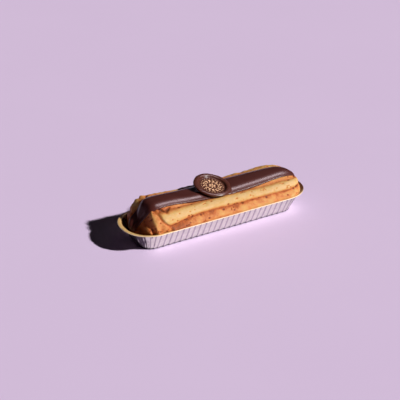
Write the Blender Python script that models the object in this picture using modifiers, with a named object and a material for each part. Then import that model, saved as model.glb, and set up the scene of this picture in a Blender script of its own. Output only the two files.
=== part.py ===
"""A chocolate eclair in its pleated foil tray, with a strip of icing and a round chocolate seal on top.

The tray stands on z = 0 with its middle at the origin. X runs along the eclair, -Y is its front, and the
lengths are in metres.
"""

import math

import bmesh
import bpy
from mathutils import Vector
from mathutils.bvhtree import BVHTree

MM = 0.001
GAP = 0.3 * MM

# Foil tray: a racetrack outline, a pleated wall that slopes outwards, and a flat flange with a turned lip,
# wider at the two ends than along the sides.
TRAY_LENGTH = 151.2 * MM
TRAY_WIDTH = 45.0 * MM
TRAY_HEIGHT = 16.0 * MM
TRAY_CORNER_RADIUS = 21.05 * MM
FOIL_THICKNESS = 0.35 * MM
FLANGE_AT_SIDES = 2.05 * MM
FLANGE_AT_ENDS = 2.7 * MM
LIP_DROP = 0.5 * MM
WALL_TOP_DROP = 1.6 * MM
WALL_FLARE = 8.5 * MM
FLOOR_RADIUS = 0.7 * MM
PLEAT_COUNT = 76
PLEAT_DEPTH = 0.4 * MM
PLEAT_FADE = 6.0 * MM
RIM_CLEARANCE = 0.8 * MM
OVERHANG_SLOPE = 1.5
TRAY_SMOOTH_ANGLE = 20.0

# Choux: its length and the half sizes of its section, measured from the line where it is widest.
CHOUX_LENGTH = 137.4 * MM
CHOUX_SHIFT = 1.4 * MM
CHOUX_HALF_WIDTH = 20.2 * MM
CHOUX_TOP = 28.8 * MM
WAIST_HEIGHT = 16.5 * MM
NOSE_HEIGHT = 20.5 * MM
LEFT_NOSE_HEIGHT = 17.0 * MM
END_LENGTH = 19.5 * MM
SECTION_POWER = 2.4
LEFT_END_POWER = 2.35
RIGHT_END_POWER = 2.6
END_SHARE = 0.28
FACETS_ALONG = 46
FACETS_OVER_TOP = 38
FACETS_UNDERNEATH = 10
UNDERSIDE_POWER = 2.0
CHOUX_SMOOTH_ANGLE = 75.0

# The left end slopes down from its crown, except at the back: knots of (place along it, share of the rise).
LEFT_SLOPE = (
    (-67.3 * MM, 0.06),
    (-64.5 * MM, 0.14),
    (-62.0 * MM, 0.29),
    (-60.0 * MM, 0.46),
    (-58.0 * MM, 0.65),
    (-56.0 * MM, 0.82),
    (-54.0 * MM, 0.94),
    (-52.0 * MM, 0.985),
    (-49.0 * MM, 1.0),
)
SLOPE_FULL_ACROSS = 0.3
SLOPE_FADED_ACROSS = 0.75
SLOPE_AT_BACK = 0.2

# Swellings of the choux over its even section: where they are along it, how long and how high.
LEFT_SWELL = (-48.0 * MM, 20.0 * MM, 1.6 * MM)
RIGHT_SWELL = (54.0 * MM, 14.0 * MM, 0.5 * MM)
BACK_LEFT_SWELL = (-50.0 * MM, 11.0 * MM, 1.5 * MM)
BACK_RIGHT_SWELL = (54.0 * MM, 10.5 * MM, 1.4 * MM)
BACK_SWELL_CLIMB = 47.0
BACK_SWELL_HALF_CLIMB = 14.0

# Piped ridges: two creases run along each side, one under the icing's edge and one above the tray's rim.
# Their places are climbs, the angles above the choux's widest line, in degrees.
UPPER_CREASE_CLIMB = 47.0
UPPER_CREASE_DEPTH = 1.0 * MM
LOWER_CREASE_CLIMB = 16.6
LOWER_CREASE_DEPTH = 1.5 * MM
CREASE_HALF_CLIMB = 5.0
RIDGE_HEIGHT = 0.8 * MM
RIDGES_FROM_CLIMB = -10.0
LOWER_RIDGE_CLIMB = -1.0
LOWER_RIDGE_HALF_CLIMB = 8.0
LOWER_RIDGE_HEIGHT = 0.6 * MM
CREASE_DROP = 11.0
CREASE_DROP_START = -22.0 * MM
CREASE_DROP_END = -52.0 * MM

# Folds at the left end, where the piping began: ribs that cross the end from the icing down to the rim.
FOLD_PLACE = -58.2 * MM
FOLD_CURVE = 2.0 * MM
FOLD_MIDDLE_CLIMB = 28.0
FOLD_SPAN_CLIMB = 31.0
FOLD_PITCH = 5.6 * MM
FOLD_DEPTH = 0.6 * MM
FOLDS_START = -49.0 * MM
FOLDS_END = -53.0 * MM
FOLDS_INNER_EDGE = 6.0 * MM
FOLDS_OUTER_EDGE = 11.0 * MM

# Icing: a strip laid over the crown, which runs out in a tip at the right and hangs down the left end.
# Its edges are knots of (share of the strip's length from the tip, distance across).
ICING_THICKNESS = 1.8 * MM
ICING_TIP = 67.0 * MM
ICING_BEND_SHARE = 0.74
ICING_BEND_TURN = 80.0
ICING_STATIONS = 46
ICING_LANES = 10
ICING_UNDER_GAP = 0.6 * MM
ICING_SLOPE_GAP = 1.5 * MM
ICING_SLOPE_START = 0.66
STEEPEST_LIFT = 0.8
ICING_END_THICKNESS = 0.25
ICING_END_GROWTH = 14.0
ICING_EDGE_THICKNESS = 0.2
ICING_EDGE_POWER = 5
ICING_SMOOTH_ANGLE = 50.0
ICING_FRONT_EDGE = (
    (0.0, -8.0 * MM),
    (0.05, -9.6 * MM),
    (0.14, -10.2 * MM),
    (0.32, -10.8 * MM),
    (0.66, -10.2 * MM),
    (0.76, -11.0 * MM),
    (0.84, -9.6 * MM),
    (0.90, -7.4 * MM),
    (0.95, -6.0 * MM),
    (1.0, -5.0 * MM),
)
ICING_BACK_EDGE = (
    (0.0, -6.8 * MM),
    (0.02, -1.4 * MM),
    (0.045, 4.4 * MM),
    (0.1, 6.6 * MM),
    (0.25, 8.6 * MM),
    (0.4, 9.2 * MM),
    (0.7, 9.2 * MM),
    (0.78, 7.4 * MM),
    (0.86, 6.0 * MM),
    (0.94, 6.6 * MM),
    (1.0, 4.6 * MM),
)

# Seal: a disc of chocolate with a raised round rim, leaning to the front and a little to the right.
SEAL_RADIUS = 14.3 * MM
SEAL_THICKNESS = 2.8 * MM
SEAL_RECESS_RADIUS = 9.9 * MM
SEAL_RECESS_DEPTH = 1.3 * MM
SEAL_TOP = (-1.4 * MM, -1.9 * MM, 33.5 * MM)
SEAL_LEAN_FORWARD = 12.4
SEAL_LEAN_RIGHT = 7.1
SEAL_WIDEST_DROP = 1.0 * MM
SEAL_UNDERCUT = 2.6 * MM
SEAL_RECESS_FOOT = 0.5 * MM
SEAL_STEPS = 36
SEAL_RIM_STEPS = 8
SEAL_SIDE_STEPS = 4
SEAL_SMOOTH_ANGLE = 40.0
SEAL_AXIS_MERGE = 0.01 * MM

# Plain colours of the four materials.
FOIL_COLOR = (0.78, 0.76, 0.80)
CHOUX_COLOR = (0.80, 0.50, 0.24)
ICING_COLOR = (0.07, 0.03, 0.022)
SEAL_COLOR = (0.13, 0.05, 0.035)
FOIL_ROUGHNESS = 0.3
CHOUX_ROUGHNESS = 0.75
ICING_ROUGHNESS = 0.2
SEAL_ROUGHNESS = 0.35


def smooth_step(value: float, start: float, end: float) -> float:
    """Runs from 0 at start to 1 at end with no kink."""
    share = min(max((value - start) / (end - start), 0.0), 1.0)
    return share * share * (3.0 - 2.0 * share)


def bump(offset: float, half_width: float) -> float:
    """A soft bump that is 1 at no offset and has faded out at twice the half width."""
    return math.exp(-((offset / half_width) ** 2))


def make_collection(name: str) -> bpy.types.Collection:
    """Links a new, empty collection to the scene."""
    collection = bpy.data.collections.new(name)
    bpy.context.scene.collection.children.link(collection)
    return collection


def make_material(name: str, color: tuple, roughness: float, metallic: float = 0.0) -> bpy.types.Material:
    """A Principled BSDF with one colour."""
    material = bpy.data.materials.new(name)
    material.use_nodes = True
    shader = material.node_tree.nodes["Principled BSDF"]
    shader.inputs["Base Color"].default_value = (*color, 1.0)
    shader.inputs["Roughness"].default_value = roughness
    shader.inputs["Metallic"].default_value = metallic
    return material


def add_object(name: str, bm, material, collection, smooth_angle: float) -> bpy.types.Object:
    """Turns a bmesh into a shaded object in the collection."""
    mesh = bpy.data.meshes.new(name)
    bm.to_mesh(mesh)
    bm.free()
    mesh.shade_smooth()
    mesh.set_sharp_from_angle(angle=math.radians(smooth_angle))
    mesh.materials.append(material)
    item = bpy.data.objects.new(name, mesh)
    collection.objects.link(item)
    return item


def tray_outline(share: float) -> tuple:
    """A point on the tray's outer edge and the direction straight out from it.

    share runs from 0 to 1 once round the racetrack, starting in the middle of the right-hand end.
    """
    half_x = TRAY_LENGTH / 2 - TRAY_CORNER_RADIUS
    half_y = TRAY_WIDTH / 2 - TRAY_CORNER_RADIUS
    quarter_arc = math.pi / 2 * TRAY_CORNER_RADIUS
    quarter = half_x + half_y + quarter_arc
    quadrant, rest = divmod(share * 4.0, 1.0)
    run = rest * quarter
    if quadrant % 2:
        run = quarter - run
    if run < half_y:
        point = Vector((TRAY_LENGTH / 2, run))
        outward = Vector((1.0, 0.0))
    elif run < half_y + quarter_arc:
        angle = (run - half_y) / TRAY_CORNER_RADIUS
        outward = Vector((math.cos(angle), math.sin(angle)))
        point = Vector((half_x, half_y)) + TRAY_CORNER_RADIUS * outward
    else:
        point = Vector((half_x - (run - half_y - quarter_arc), TRAY_WIDTH / 2))
        outward = Vector((0.0, 1.0))
    flip = Vector((-1.0 if quadrant in (1, 2) else 1.0, -1.0 if quadrant >= 2 else 1.0))
    return point * flip, outward * flip


def flange_width(endwise: float) -> float:
    """The flange's width where the outward direction has a share endwise along the eclair."""
    return FLANGE_AT_SIDES + (FLANGE_AT_ENDS - FLANGE_AT_SIDES) * endwise * endwise


def wall_inset(height: float, endwise: float) -> float:
    """How far the tray's outer skin lies inside its outer edge at a height."""
    return flange_width(endwise) + WALL_FLARE * (1.0 - min(1.0, height / TRAY_HEIGHT))


def pleat_depth(height: float) -> float:
    """How far the pleats stand to each side of the wall, fading out under the flange."""
    return PLEAT_DEPTH * max(0.0, min(1.0, (TRAY_HEIGHT - height) / PLEAT_FADE))


def build_foil_tray(collection, material) -> bpy.types.Object:
    """The tray's outer skin from the lip to the floor, thickened inwards."""
    under_flange = TRAY_HEIGHT - FOIL_THICKNESS
    wall_top = TRAY_HEIGHT - WALL_TOP_DROP
    bm = bmesh.new()
    loops = [[], [], [], [], [], []]
    folds = 2 * PLEAT_COUNT
    for fold in range(folds):
        point, outward = tray_outline(fold / folds)
        side = 1.0 if fold % 2 else -1.0
        rings = (
            (FOIL_THICKNESS, under_flange - LIP_DROP),
            (FOIL_THICKNESS, under_flange),
            (flange_width(outward.x), under_flange),
            (wall_inset(wall_top, outward.x) + side * pleat_depth(wall_top), wall_top),
            (wall_inset(FLOOR_RADIUS, outward.x) + side * PLEAT_DEPTH, FLOOR_RADIUS),
            (wall_inset(0.0, outward.x) + FLOOR_RADIUS, 0.0),
        )
        for loop, (inset, height) in zip(loops, rings):
            loop.append(bm.verts.new((*(point - outward * inset), height)))
    for upper, lower in zip(loops, loops[1:]):
        for fold in range(folds):
            following = (fold + 1) % folds
            bm.faces.new((upper[fold], lower[fold], lower[following], upper[following]))
    bm.faces.new(reversed(loops[-1]))
    tray = add_object("foil_tray", bm, material, collection, TRAY_SMOOTH_ANGLE)
    wall = tray.modifiers.new("Foil", "SOLIDIFY")
    wall.thickness = FOIL_THICKNESS
    wall.offset = -1.0
    return tray


def inside_tray(x: float, y: float, z: float) -> tuple:
    """Draws a point of the choux that would meet the tray back inside it, or over its rim."""
    half_x = TRAY_LENGTH / 2 - TRAY_CORNER_RADIUS
    half_y = TRAY_WIDTH / 2 - TRAY_CORNER_RADIUS
    core_x = min(max(x, -half_x), half_x)
    core_y = min(max(y, -half_y), half_y)
    out = math.hypot(x - core_x, y - core_y)
    endwise = (x - core_x) / max(out, GAP)
    reach = TRAY_CORNER_RADIUS - wall_inset(z, endwise) - FOIL_THICKNESS - pleat_depth(z) - GAP
    reach += OVERHANG_SLOPE * max(0.0, z - TRAY_HEIGHT - RIM_CLEARANCE)
    if out <= reach:
        return x, y
    kept = reach / out
    return core_x + (x - core_x) * kept, core_y + (y - core_y) * kept


def ring_along(share: float) -> tuple:
    """The place of a ring of the choux and its size, for share 0 at the right end to 1 at the left end."""
    half = CHOUX_LENGTH / 2
    straight = half - END_LENGTH
    from_end = min(share, 1.0 - share)
    if from_end < END_SHARE:
        turn = math.pi / 2 * from_end / END_SHARE
        x = straight + END_LENGTH * math.cos(turn)
        power = RIGHT_END_POWER if share < 0.5 else LEFT_END_POWER
        size = (1.0 - math.cos(turn) ** power) ** (1.0 / power)
    else:
        x = straight * (0.5 - from_end) / (0.5 - END_SHARE)
        size = 1.0
    if share > 0.5:
        x = -x
    return CHOUX_SHIFT + x, size


def around_angle(turn: float) -> float:
    """Spreads the facets so that most of them lie over the top.

    turn runs from 0 to 1 round the section, and the angle from 0 at the back, over the top at a right
    angle, to the front and underneath.
    """
    over_top = FACETS_OVER_TOP / (FACETS_OVER_TOP + FACETS_UNDERNEATH)
    if turn <= over_top:
        return math.pi * turn / over_top
    return math.pi * (1.0 + (turn - over_top) / (1.0 - over_top))


def swelling(x: float, swell: tuple) -> float:
    """The height of a swelling at a place along the choux."""
    place, half_length, height = swell
    return height * bump(x - place, half_length)


def ridge_relief(x: float, climb: float) -> float:
    """How far the ridges piped along a side stand out of it."""
    drop = CREASE_DROP * smooth_step(x, CREASE_DROP_START, CREASE_DROP_END)
    crease = LOWER_CREASE_CLIMB - drop
    middle = (UPPER_CREASE_CLIMB + crease) / 2
    half_ridge = (UPPER_CREASE_CLIMB - crease) / 2
    relief = RIDGE_HEIGHT * bump(climb - middle, half_ridge)
    relief += LOWER_RIDGE_HEIGHT * bump(climb - LOWER_RIDGE_CLIMB + drop, LOWER_RIDGE_HALF_CLIMB)
    relief -= UPPER_CREASE_DEPTH * bump(climb - UPPER_CREASE_CLIMB, CREASE_HALF_CLIMB)
    relief -= LOWER_CREASE_DEPTH * bump(climb - crease, CREASE_HALF_CLIMB)
    return relief


def fold_relief(x: float, climb: float, across: float) -> float:
    """How far the curved ribs across the left end stand out of it, away from the icing."""
    curve = (climb - FOLD_MIDDLE_CLIMB) / FOLD_SPAN_CLIMB
    from_fold = x - FOLD_PLACE - FOLD_CURVE * curve * curve
    fade = smooth_step(across, FOLDS_INNER_EDGE, FOLDS_OUTER_EDGE)
    return FOLD_DEPTH * fade * math.cos(math.tau * from_fold / FOLD_PITCH)


def slope_share(x: float, across: float) -> float:
    """The share of the full rise that is left where the left end slopes down."""
    left = through_knots(LEFT_SLOPE, x)
    fade = smooth_step(across, SLOPE_FADED_ACROSS, SLOPE_FULL_ACROSS)
    return 1.0 - (1.0 - left) * (SLOPE_AT_BACK + (1.0 - SLOPE_AT_BACK) * fade)


def side_relief(x: float, climb: float, y: float) -> float:
    """How far the choux stands out of its even section."""
    folded = smooth_step(x, FOLDS_START, FOLDS_END)
    relief = (1.0 - folded) * ridge_relief(x, climb) + folded * fold_relief(x, climb, abs(y))
    if y > 0.0:
        swell = swelling(x, BACK_LEFT_SWELL) + swelling(x, BACK_RIGHT_SWELL)
        relief += swell * bump(climb - BACK_SWELL_CLIMB, BACK_SWELL_HALF_CLIMB)
    return relief


def choux_skin(share: float, turn: float) -> Vector:
    """A point of the choux's skin."""
    ring_x, size = ring_along(share)
    angle = around_angle(turn)
    across = math.cos(angle)
    up = math.sin(angle)
    bottom = FOIL_THICKNESS + GAP
    if up > 0.0:
        rise = CHOUX_TOP - WAIST_HEIGHT + swelling(ring_x, LEFT_SWELL) + swelling(ring_x, RIGHT_SWELL)
        rise *= slope_share(ring_x, across)
        power = SECTION_POWER
    else:
        rise = WAIST_HEIGHT - bottom
        power = UNDERSIDE_POWER
    reach = ((abs(across) / CHOUX_HALF_WIDTH) ** power + (abs(up) / rise) ** power) ** (-1.0 / power)
    climb = math.degrees(math.atan2(up, abs(across)))
    if climb > RIDGES_FROM_CLIMB:
        reach += side_relief(ring_x, climb, across * reach * size)
    nose = NOSE_HEIGHT if share < 0.5 else LEFT_NOSE_HEIGHT
    middle = nose + (WAIST_HEIGHT - nose) * size
    z = max(middle + up * reach * size, bottom)
    x, y = inside_tray(ring_x, across * reach * size, z)
    return Vector((x, y, z))


def build_choux(collection, material) -> bpy.types.Object:
    """A ball whose latitudes become rings along the eclair and whose longitudes run round its section."""
    bm = bmesh.new()
    facets_around = FACETS_OVER_TOP + FACETS_UNDERNEATH
    bmesh.ops.create_uvsphere(bm, u_segments=facets_around, v_segments=FACETS_ALONG, radius=1.0)
    for vert in bm.verts:
        share = math.acos(max(-1.0, min(1.0, vert.co.z))) / math.pi
        turn = round(math.atan2(vert.co.y, vert.co.x) / math.tau * facets_around) % facets_around
        vert.co = choux_skin(share, turn / facets_around)
    return add_object("choux", bm, material, collection, CHOUX_SMOOTH_ANGLE)


def icing_spine(share: float) -> tuple:
    """Where the icing's cross-lines start and the way they face, from the right tip to the left foot."""
    left_middle = CHOUX_SHIFT - CHOUX_LENGTH / 2 + END_LENGTH
    if share < ICING_BEND_SHARE:
        x = ICING_TIP + (left_middle - ICING_TIP) * share / ICING_BEND_SHARE
        return Vector((x, 0.0, WAIST_HEIGHT)), Vector((0.0, 0.0, 1.0))
    turn = math.radians(ICING_BEND_TURN) * (share - ICING_BEND_SHARE) / (1.0 - ICING_BEND_SHARE)
    return Vector((left_middle, 0.0, WAIST_HEIGHT)), Vector((-math.sin(turn), 0.0, math.cos(turn)))


def through_knots(knots: tuple, share: float) -> float:
    """The value at a share along a line of knots, with an even run between two of them."""
    for (start, low), (end, high) in zip(knots, knots[1:]):
        if share <= end:
            return low + (high - low) * (share - start) / (end - start)
    return knots[-1][1]


def build_icing(collection, material, choux) -> bpy.types.Object:
    """A strip cast down onto the choux, with rounded edges."""
    skin = BVHTree.FromObject(choux, bpy.context.evaluated_depsgraph_get())
    bm = bmesh.new()
    under = []
    over = []
    for station in range(ICING_STATIONS + 1):
        share = station / ICING_STATIONS
        start, facing = icing_spine(share)
        front = through_knots(ICING_FRONT_EDGE, share)
        back = through_knots(ICING_BACK_EDGE, share)
        end_room = min(1.0, ICING_END_THICKNESS + ICING_END_GROWTH * min(share, 1.0 - share))
        sloping = smooth_step(share, ICING_SLOPE_START, ICING_BEND_SHARE)
        gap = ICING_UNDER_GAP + (ICING_SLOPE_GAP - ICING_UNDER_GAP) * sloping
        under_row = []
        over_row = []
        for lane in range(ICING_LANES + 1):
            across = -math.cos(math.pi * lane / ICING_LANES)
            edge = math.sqrt(1.0 - abs(across) ** ICING_EDGE_POWER)
            y = front + (back - front) * (1.0 + across) / 2
            origin = start + Vector((0.0, y, 0.0)) + facing * TRAY_LENGTH
            hit, normal, _, _ = skin.ray_cast(origin, -facing)
            lift = gap / max(STEEPEST_LIFT, facing.dot(normal))
            full = ICING_EDGE_THICKNESS + (1.0 - ICING_EDGE_THICKNESS) * edge
            thickness = ICING_THICKNESS * full * end_room
            under_row.append(bm.verts.new(hit + facing * lift))
            over_row.append(bm.verts.new(hit + facing * (lift + thickness)))
        under.append(under_row)
        over.append(over_row)
    for station in range(ICING_STATIONS):
        for lane in range(ICING_LANES):
            for rows in (under, over):
                corners = (rows[station][lane], rows[station + 1][lane],
                           rows[station + 1][lane + 1], rows[station][lane + 1])
                bm.faces.new(corners)
    for station in (0, ICING_STATIONS):
        for lane in range(ICING_LANES):
            bm.faces.new((under[station][lane], over[station][lane],
                          over[station][lane + 1], under[station][lane + 1]))
    for lane in (0, ICING_LANES):
        for station in range(ICING_STATIONS):
            bm.faces.new((under[station][lane], over[station][lane],
                          over[station + 1][lane], under[station + 1][lane]))
    bmesh.ops.recalc_face_normals(bm, faces=bm.faces)
    return add_object("icing", bm, material, collection, ICING_SMOOTH_ANGLE)


def seal_profile() -> list:
    """Radius and height of the seal's section, from the recess's middle over the rim to the underside."""
    floor = -SEAL_RECESS_DEPTH
    crest = (SEAL_RECESS_RADIUS + SEAL_RADIUS) / 2
    half_rim = (SEAL_RADIUS - SEAL_RECESS_RADIUS) / 2
    profile = [(0.0, floor), (SEAL_RECESS_RADIUS - SEAL_RECESS_FOOT, floor)]
    for step in range(SEAL_RIM_STEPS + 1):
        angle = math.pi * (1.0 - step / SEAL_RIM_STEPS)
        drop = SEAL_RECESS_DEPTH if math.cos(angle) < 0.0 else SEAL_WIDEST_DROP
        profile.append((crest + half_rim * math.cos(angle), -drop * (1.0 - math.sin(angle))))
    for step in range(1, SEAL_SIDE_STEPS + 1):
        angle = math.pi / 2 * step / SEAL_SIDE_STEPS
        tucked = SEAL_UNDERCUT * (1.0 - math.cos(angle))
        fall = (SEAL_THICKNESS - SEAL_WIDEST_DROP) * math.sin(angle)
        profile.append((SEAL_RADIUS - tucked, -SEAL_WIDEST_DROP - fall))
    profile.append((0.0, -SEAL_THICKNESS))
    return profile


def turn_profile(item: bpy.types.Object) -> None:
    """Turns an object's profile once round its Z axis."""
    turned = item.modifiers.new("Turned", "SCREW")
    turned.steps = SEAL_STEPS
    turned.render_steps = SEAL_STEPS
    turned.use_merge_vertices = True
    turned.merge_threshold = SEAL_AXIS_MERGE
    turned.use_normal_calculate = True
    turned.use_smooth_shade = True


def profile_mesh(profile: list) -> bmesh.types.BMesh:
    """A line of edges through the profile's points, in the XZ plane."""
    bm = bmesh.new()
    verts = [bm.verts.new((radius, 0.0, height)) for radius, height in profile]
    for first, second in zip(verts, verts[1:]):
        bm.edges.new((first, second))
    return bm


def build_seal(collection, material) -> bpy.types.Object:
    """A turned disc with a rounded rim round a flat recess."""
    seal = add_object("seal", profile_mesh(seal_profile()), material, collection, SEAL_SMOOTH_ANGLE)
    turn_profile(seal)
    place_like_seal(seal)
    return seal


def place_like_seal(item: bpy.types.Object) -> None:
    """Puts an object's own origin at the middle of the seal's top, leaning as the seal does."""
    item.location = SEAL_TOP
    item.rotation_euler = (math.radians(SEAL_LEAN_FORWARD), math.radians(SEAL_LEAN_RIGHT), 0.0)


def press_seal_seat(pressed: tuple, material, cutters) -> None:
    """Cuts the seat that the seal has pressed into each piece under it, with a gap all round."""
    side = seal_profile()[-SEAL_SIDE_STEPS - 2:-1]
    profile = [(0.0, SEAL_THICKNESS), (SEAL_RADIUS + GAP, SEAL_THICKNESS)]
    profile += [(radius + GAP, height - GAP) for radius, height in side]
    profile.append((0.0, -SEAL_THICKNESS - GAP))
    cutter = add_object("seal_seat", profile_mesh(profile), material, cutters, SEAL_SMOOTH_ANGLE)
    cutter.hide_render = True
    cutter.display_type = "WIRE"
    turn_profile(cutter)
    place_like_seal(cutter)
    for piece in pressed:
        seat = piece.modifiers.new("Seat", "BOOLEAN")
        seat.operation = "DIFFERENCE"
        seat.object = cutter


def main() -> None:
    """Clears the scene and builds the eclair."""
    for item in list(bpy.data.objects):
        bpy.data.objects.remove(item, do_unlink=True)
    eclair = make_collection("chocolate_eclair")
    foil = make_material("foil", FOIL_COLOR, FOIL_ROUGHNESS, 1.0)
    crust = make_material("choux", CHOUX_COLOR, CHOUX_ROUGHNESS)
    chocolate = make_material("icing", ICING_COLOR, ICING_ROUGHNESS)
    seal_chocolate = make_material("seal", SEAL_COLOR, SEAL_ROUGHNESS)
    build_foil_tray(eclair, foil)
    choux = build_choux(eclair, crust)
    icing = build_icing(eclair, chocolate, choux)
    build_seal(eclair, seal_chocolate)
    press_seal_seat((choux, icing), seal_chocolate, make_collection("cutters"))


main()
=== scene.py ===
"""Looks of the chocolate eclair: choux, icing, seal and foil tray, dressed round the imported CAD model.

Lengths are in metres in the model's own frame: X along the eclair, -Y the front, +Z up.
"""

import logging
import math
from dataclasses import dataclass, field
from enum import Enum

import bmesh
import bpy
import numpy as np
from mathutils import Euler, Matrix, Vector, noise
from mathutils.bvhtree import BVHTree


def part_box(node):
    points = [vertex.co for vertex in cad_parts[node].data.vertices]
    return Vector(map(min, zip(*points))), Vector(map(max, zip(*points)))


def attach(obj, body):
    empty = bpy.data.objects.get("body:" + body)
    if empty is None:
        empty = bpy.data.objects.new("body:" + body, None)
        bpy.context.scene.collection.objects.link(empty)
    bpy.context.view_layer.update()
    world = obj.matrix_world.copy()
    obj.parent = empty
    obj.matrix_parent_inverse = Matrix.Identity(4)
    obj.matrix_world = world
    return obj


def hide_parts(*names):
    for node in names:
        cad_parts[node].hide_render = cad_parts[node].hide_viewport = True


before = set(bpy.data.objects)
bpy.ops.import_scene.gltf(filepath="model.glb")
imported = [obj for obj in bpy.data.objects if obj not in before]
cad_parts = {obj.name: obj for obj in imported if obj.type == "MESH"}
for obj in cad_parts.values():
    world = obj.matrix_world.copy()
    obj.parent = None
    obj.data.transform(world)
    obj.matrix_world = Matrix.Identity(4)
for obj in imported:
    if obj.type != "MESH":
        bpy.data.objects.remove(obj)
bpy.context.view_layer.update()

MM = 0.001
LOG = logging.getLogger("eclair")

Color = tuple[float, float, float]
Value = object


# ---------------------------------------------------------------------------------------------------------
# Small helpers for numbers and meshes
# ---------------------------------------------------------------------------------------------------------


def smooth_step(value: np.ndarray, start: float, end: float) -> np.ndarray:
    """Ramp with no kink.

    Args:
        value: Where to read the ramp.
        start: Value at which it is 0.
        end: Value at which it is 1.

    Returns:
        The ramp's height from 0 to 1.
    """
    share = np.clip((value - start) / (end - start), 0.0, 1.0)
    return share * share * (3.0 - 2.0 * share)


def bump(offset: np.ndarray, half_width: float) -> np.ndarray:
    """Soft bump.

    Args:
        offset: Distance from the bump's middle.
        half_width: Distance at which it has fallen to about a third.

    Returns:
        The bump's height, 1 in the middle.
    """
    return np.exp(-((offset / half_width) ** 2))


def through_knots(knots: tuple, share: np.ndarray) -> np.ndarray:
    """Smooth line through knots.

    Args:
        knots: Pairs of share and value, in rising order of share.
        share: Where to read the line.

    Returns:
        The line's value, with flat tangents at both ends.
    """
    places = np.array([knot[0] for knot in knots])
    values = np.array([knot[1] for knot in knots])
    slopes = np.gradient(values, places)
    slopes[0] = 0.0
    slopes[-1] = 0.0
    share = np.clip(share, places[0], places[-1])
    index = np.clip(np.searchsorted(places, share, side="right") - 1, 0, len(places) - 2)
    span = places[index + 1] - places[index]
    t = (share - places[index]) / span
    rise = t * t * (3.0 - 2.0 * t)
    lead = t * (1.0 - t) ** 2 * span * slopes[index]
    trail = t * t * (t - 1.0) * span * slopes[index + 1]
    return values[index] * (1.0 - rise) + values[index + 1] * rise + lead + trail


def field_noise(points: np.ndarray, grain: float, seed: int, stretch: Color = (1.0, 1.0, 1.0)) -> np.ndarray:
    """Gradient noise read at points.

    Args:
        points: Array of places, its last axis x, y, z.
        grain: Size of one lump, in metres.
        seed: Picks one of many fields.
        stretch: How much longer the lumps are along each axis.

    Returns:
        Noise from about -1 to 1, one value for each point.
    """
    shape = points.shape[:-1]
    scaled = points.reshape(-1, 3) / (np.array(stretch) * grain) + 17.31 * seed
    values = np.fromiter((noise.noise(Vector(place)) for place in scaled), float, len(scaled))
    return values.reshape(shape)


def mesh_from_rings(name: str, rings: np.ndarray, start: Vector, end: Vector) -> bpy.types.Object:
    """Closed skin over a row of rings, with a point at each end.

    Args:
        name: Name of the piece.
        rings: Array of ring, place round it, and x, y, z.
        start: Point before the first ring.
        end: Point after the last ring.

    Returns:
        The new object, linked to the scene, smooth shaded and with its faces pointing out.
    """
    count, around = rings.shape[:2]
    points = np.vstack([rings.reshape(-1, 3), np.array([start, end])])
    ring = np.arange(count - 1)[:, None] * around
    place = np.arange(around)[None, :]
    following = (place + 1) % around
    quads = np.stack([ring + place, ring + following, ring + around + following, ring + around + place], axis=-1)
    faces = quads.reshape(-1, 4).tolist()
    last = (count - 1) * around
    for here in range(around):
        beyond = (here + 1) % around
        faces.append([count * around, beyond, here])
        faces.append([count * around + 1, last + here, last + beyond])
    mesh = bpy.data.meshes.new(name)
    mesh.from_pydata(points.tolist(), [], faces)
    bm = bmesh.new()
    bm.from_mesh(mesh)
    bmesh.ops.recalc_face_normals(bm, faces=bm.faces)
    if bm.calc_volume(signed=True) < 0.0:
        bmesh.ops.reverse_faces(bm, faces=bm.faces)
    bm.to_mesh(mesh)
    bm.free()
    mesh.shade_smooth()
    piece = bpy.data.objects.new(name, mesh)
    bpy.context.scene.collection.objects.link(piece)
    return piece


def store_values(piece: bpy.types.Object, name: str, values: np.ndarray) -> None:
    """Keeps one number for each vertex as an attribute.

    Args:
        piece: The object whose mesh takes it.
        name: Name of the attribute.
        values: One value for each vertex, in order.
    """
    attribute = piece.data.attributes.new(name, "FLOAT", "POINT")
    attribute.data.foreach_set("value", values.astype(np.float32))


# ---------------------------------------------------------------------------------------------------------
# Node trees
# ---------------------------------------------------------------------------------------------------------


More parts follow.
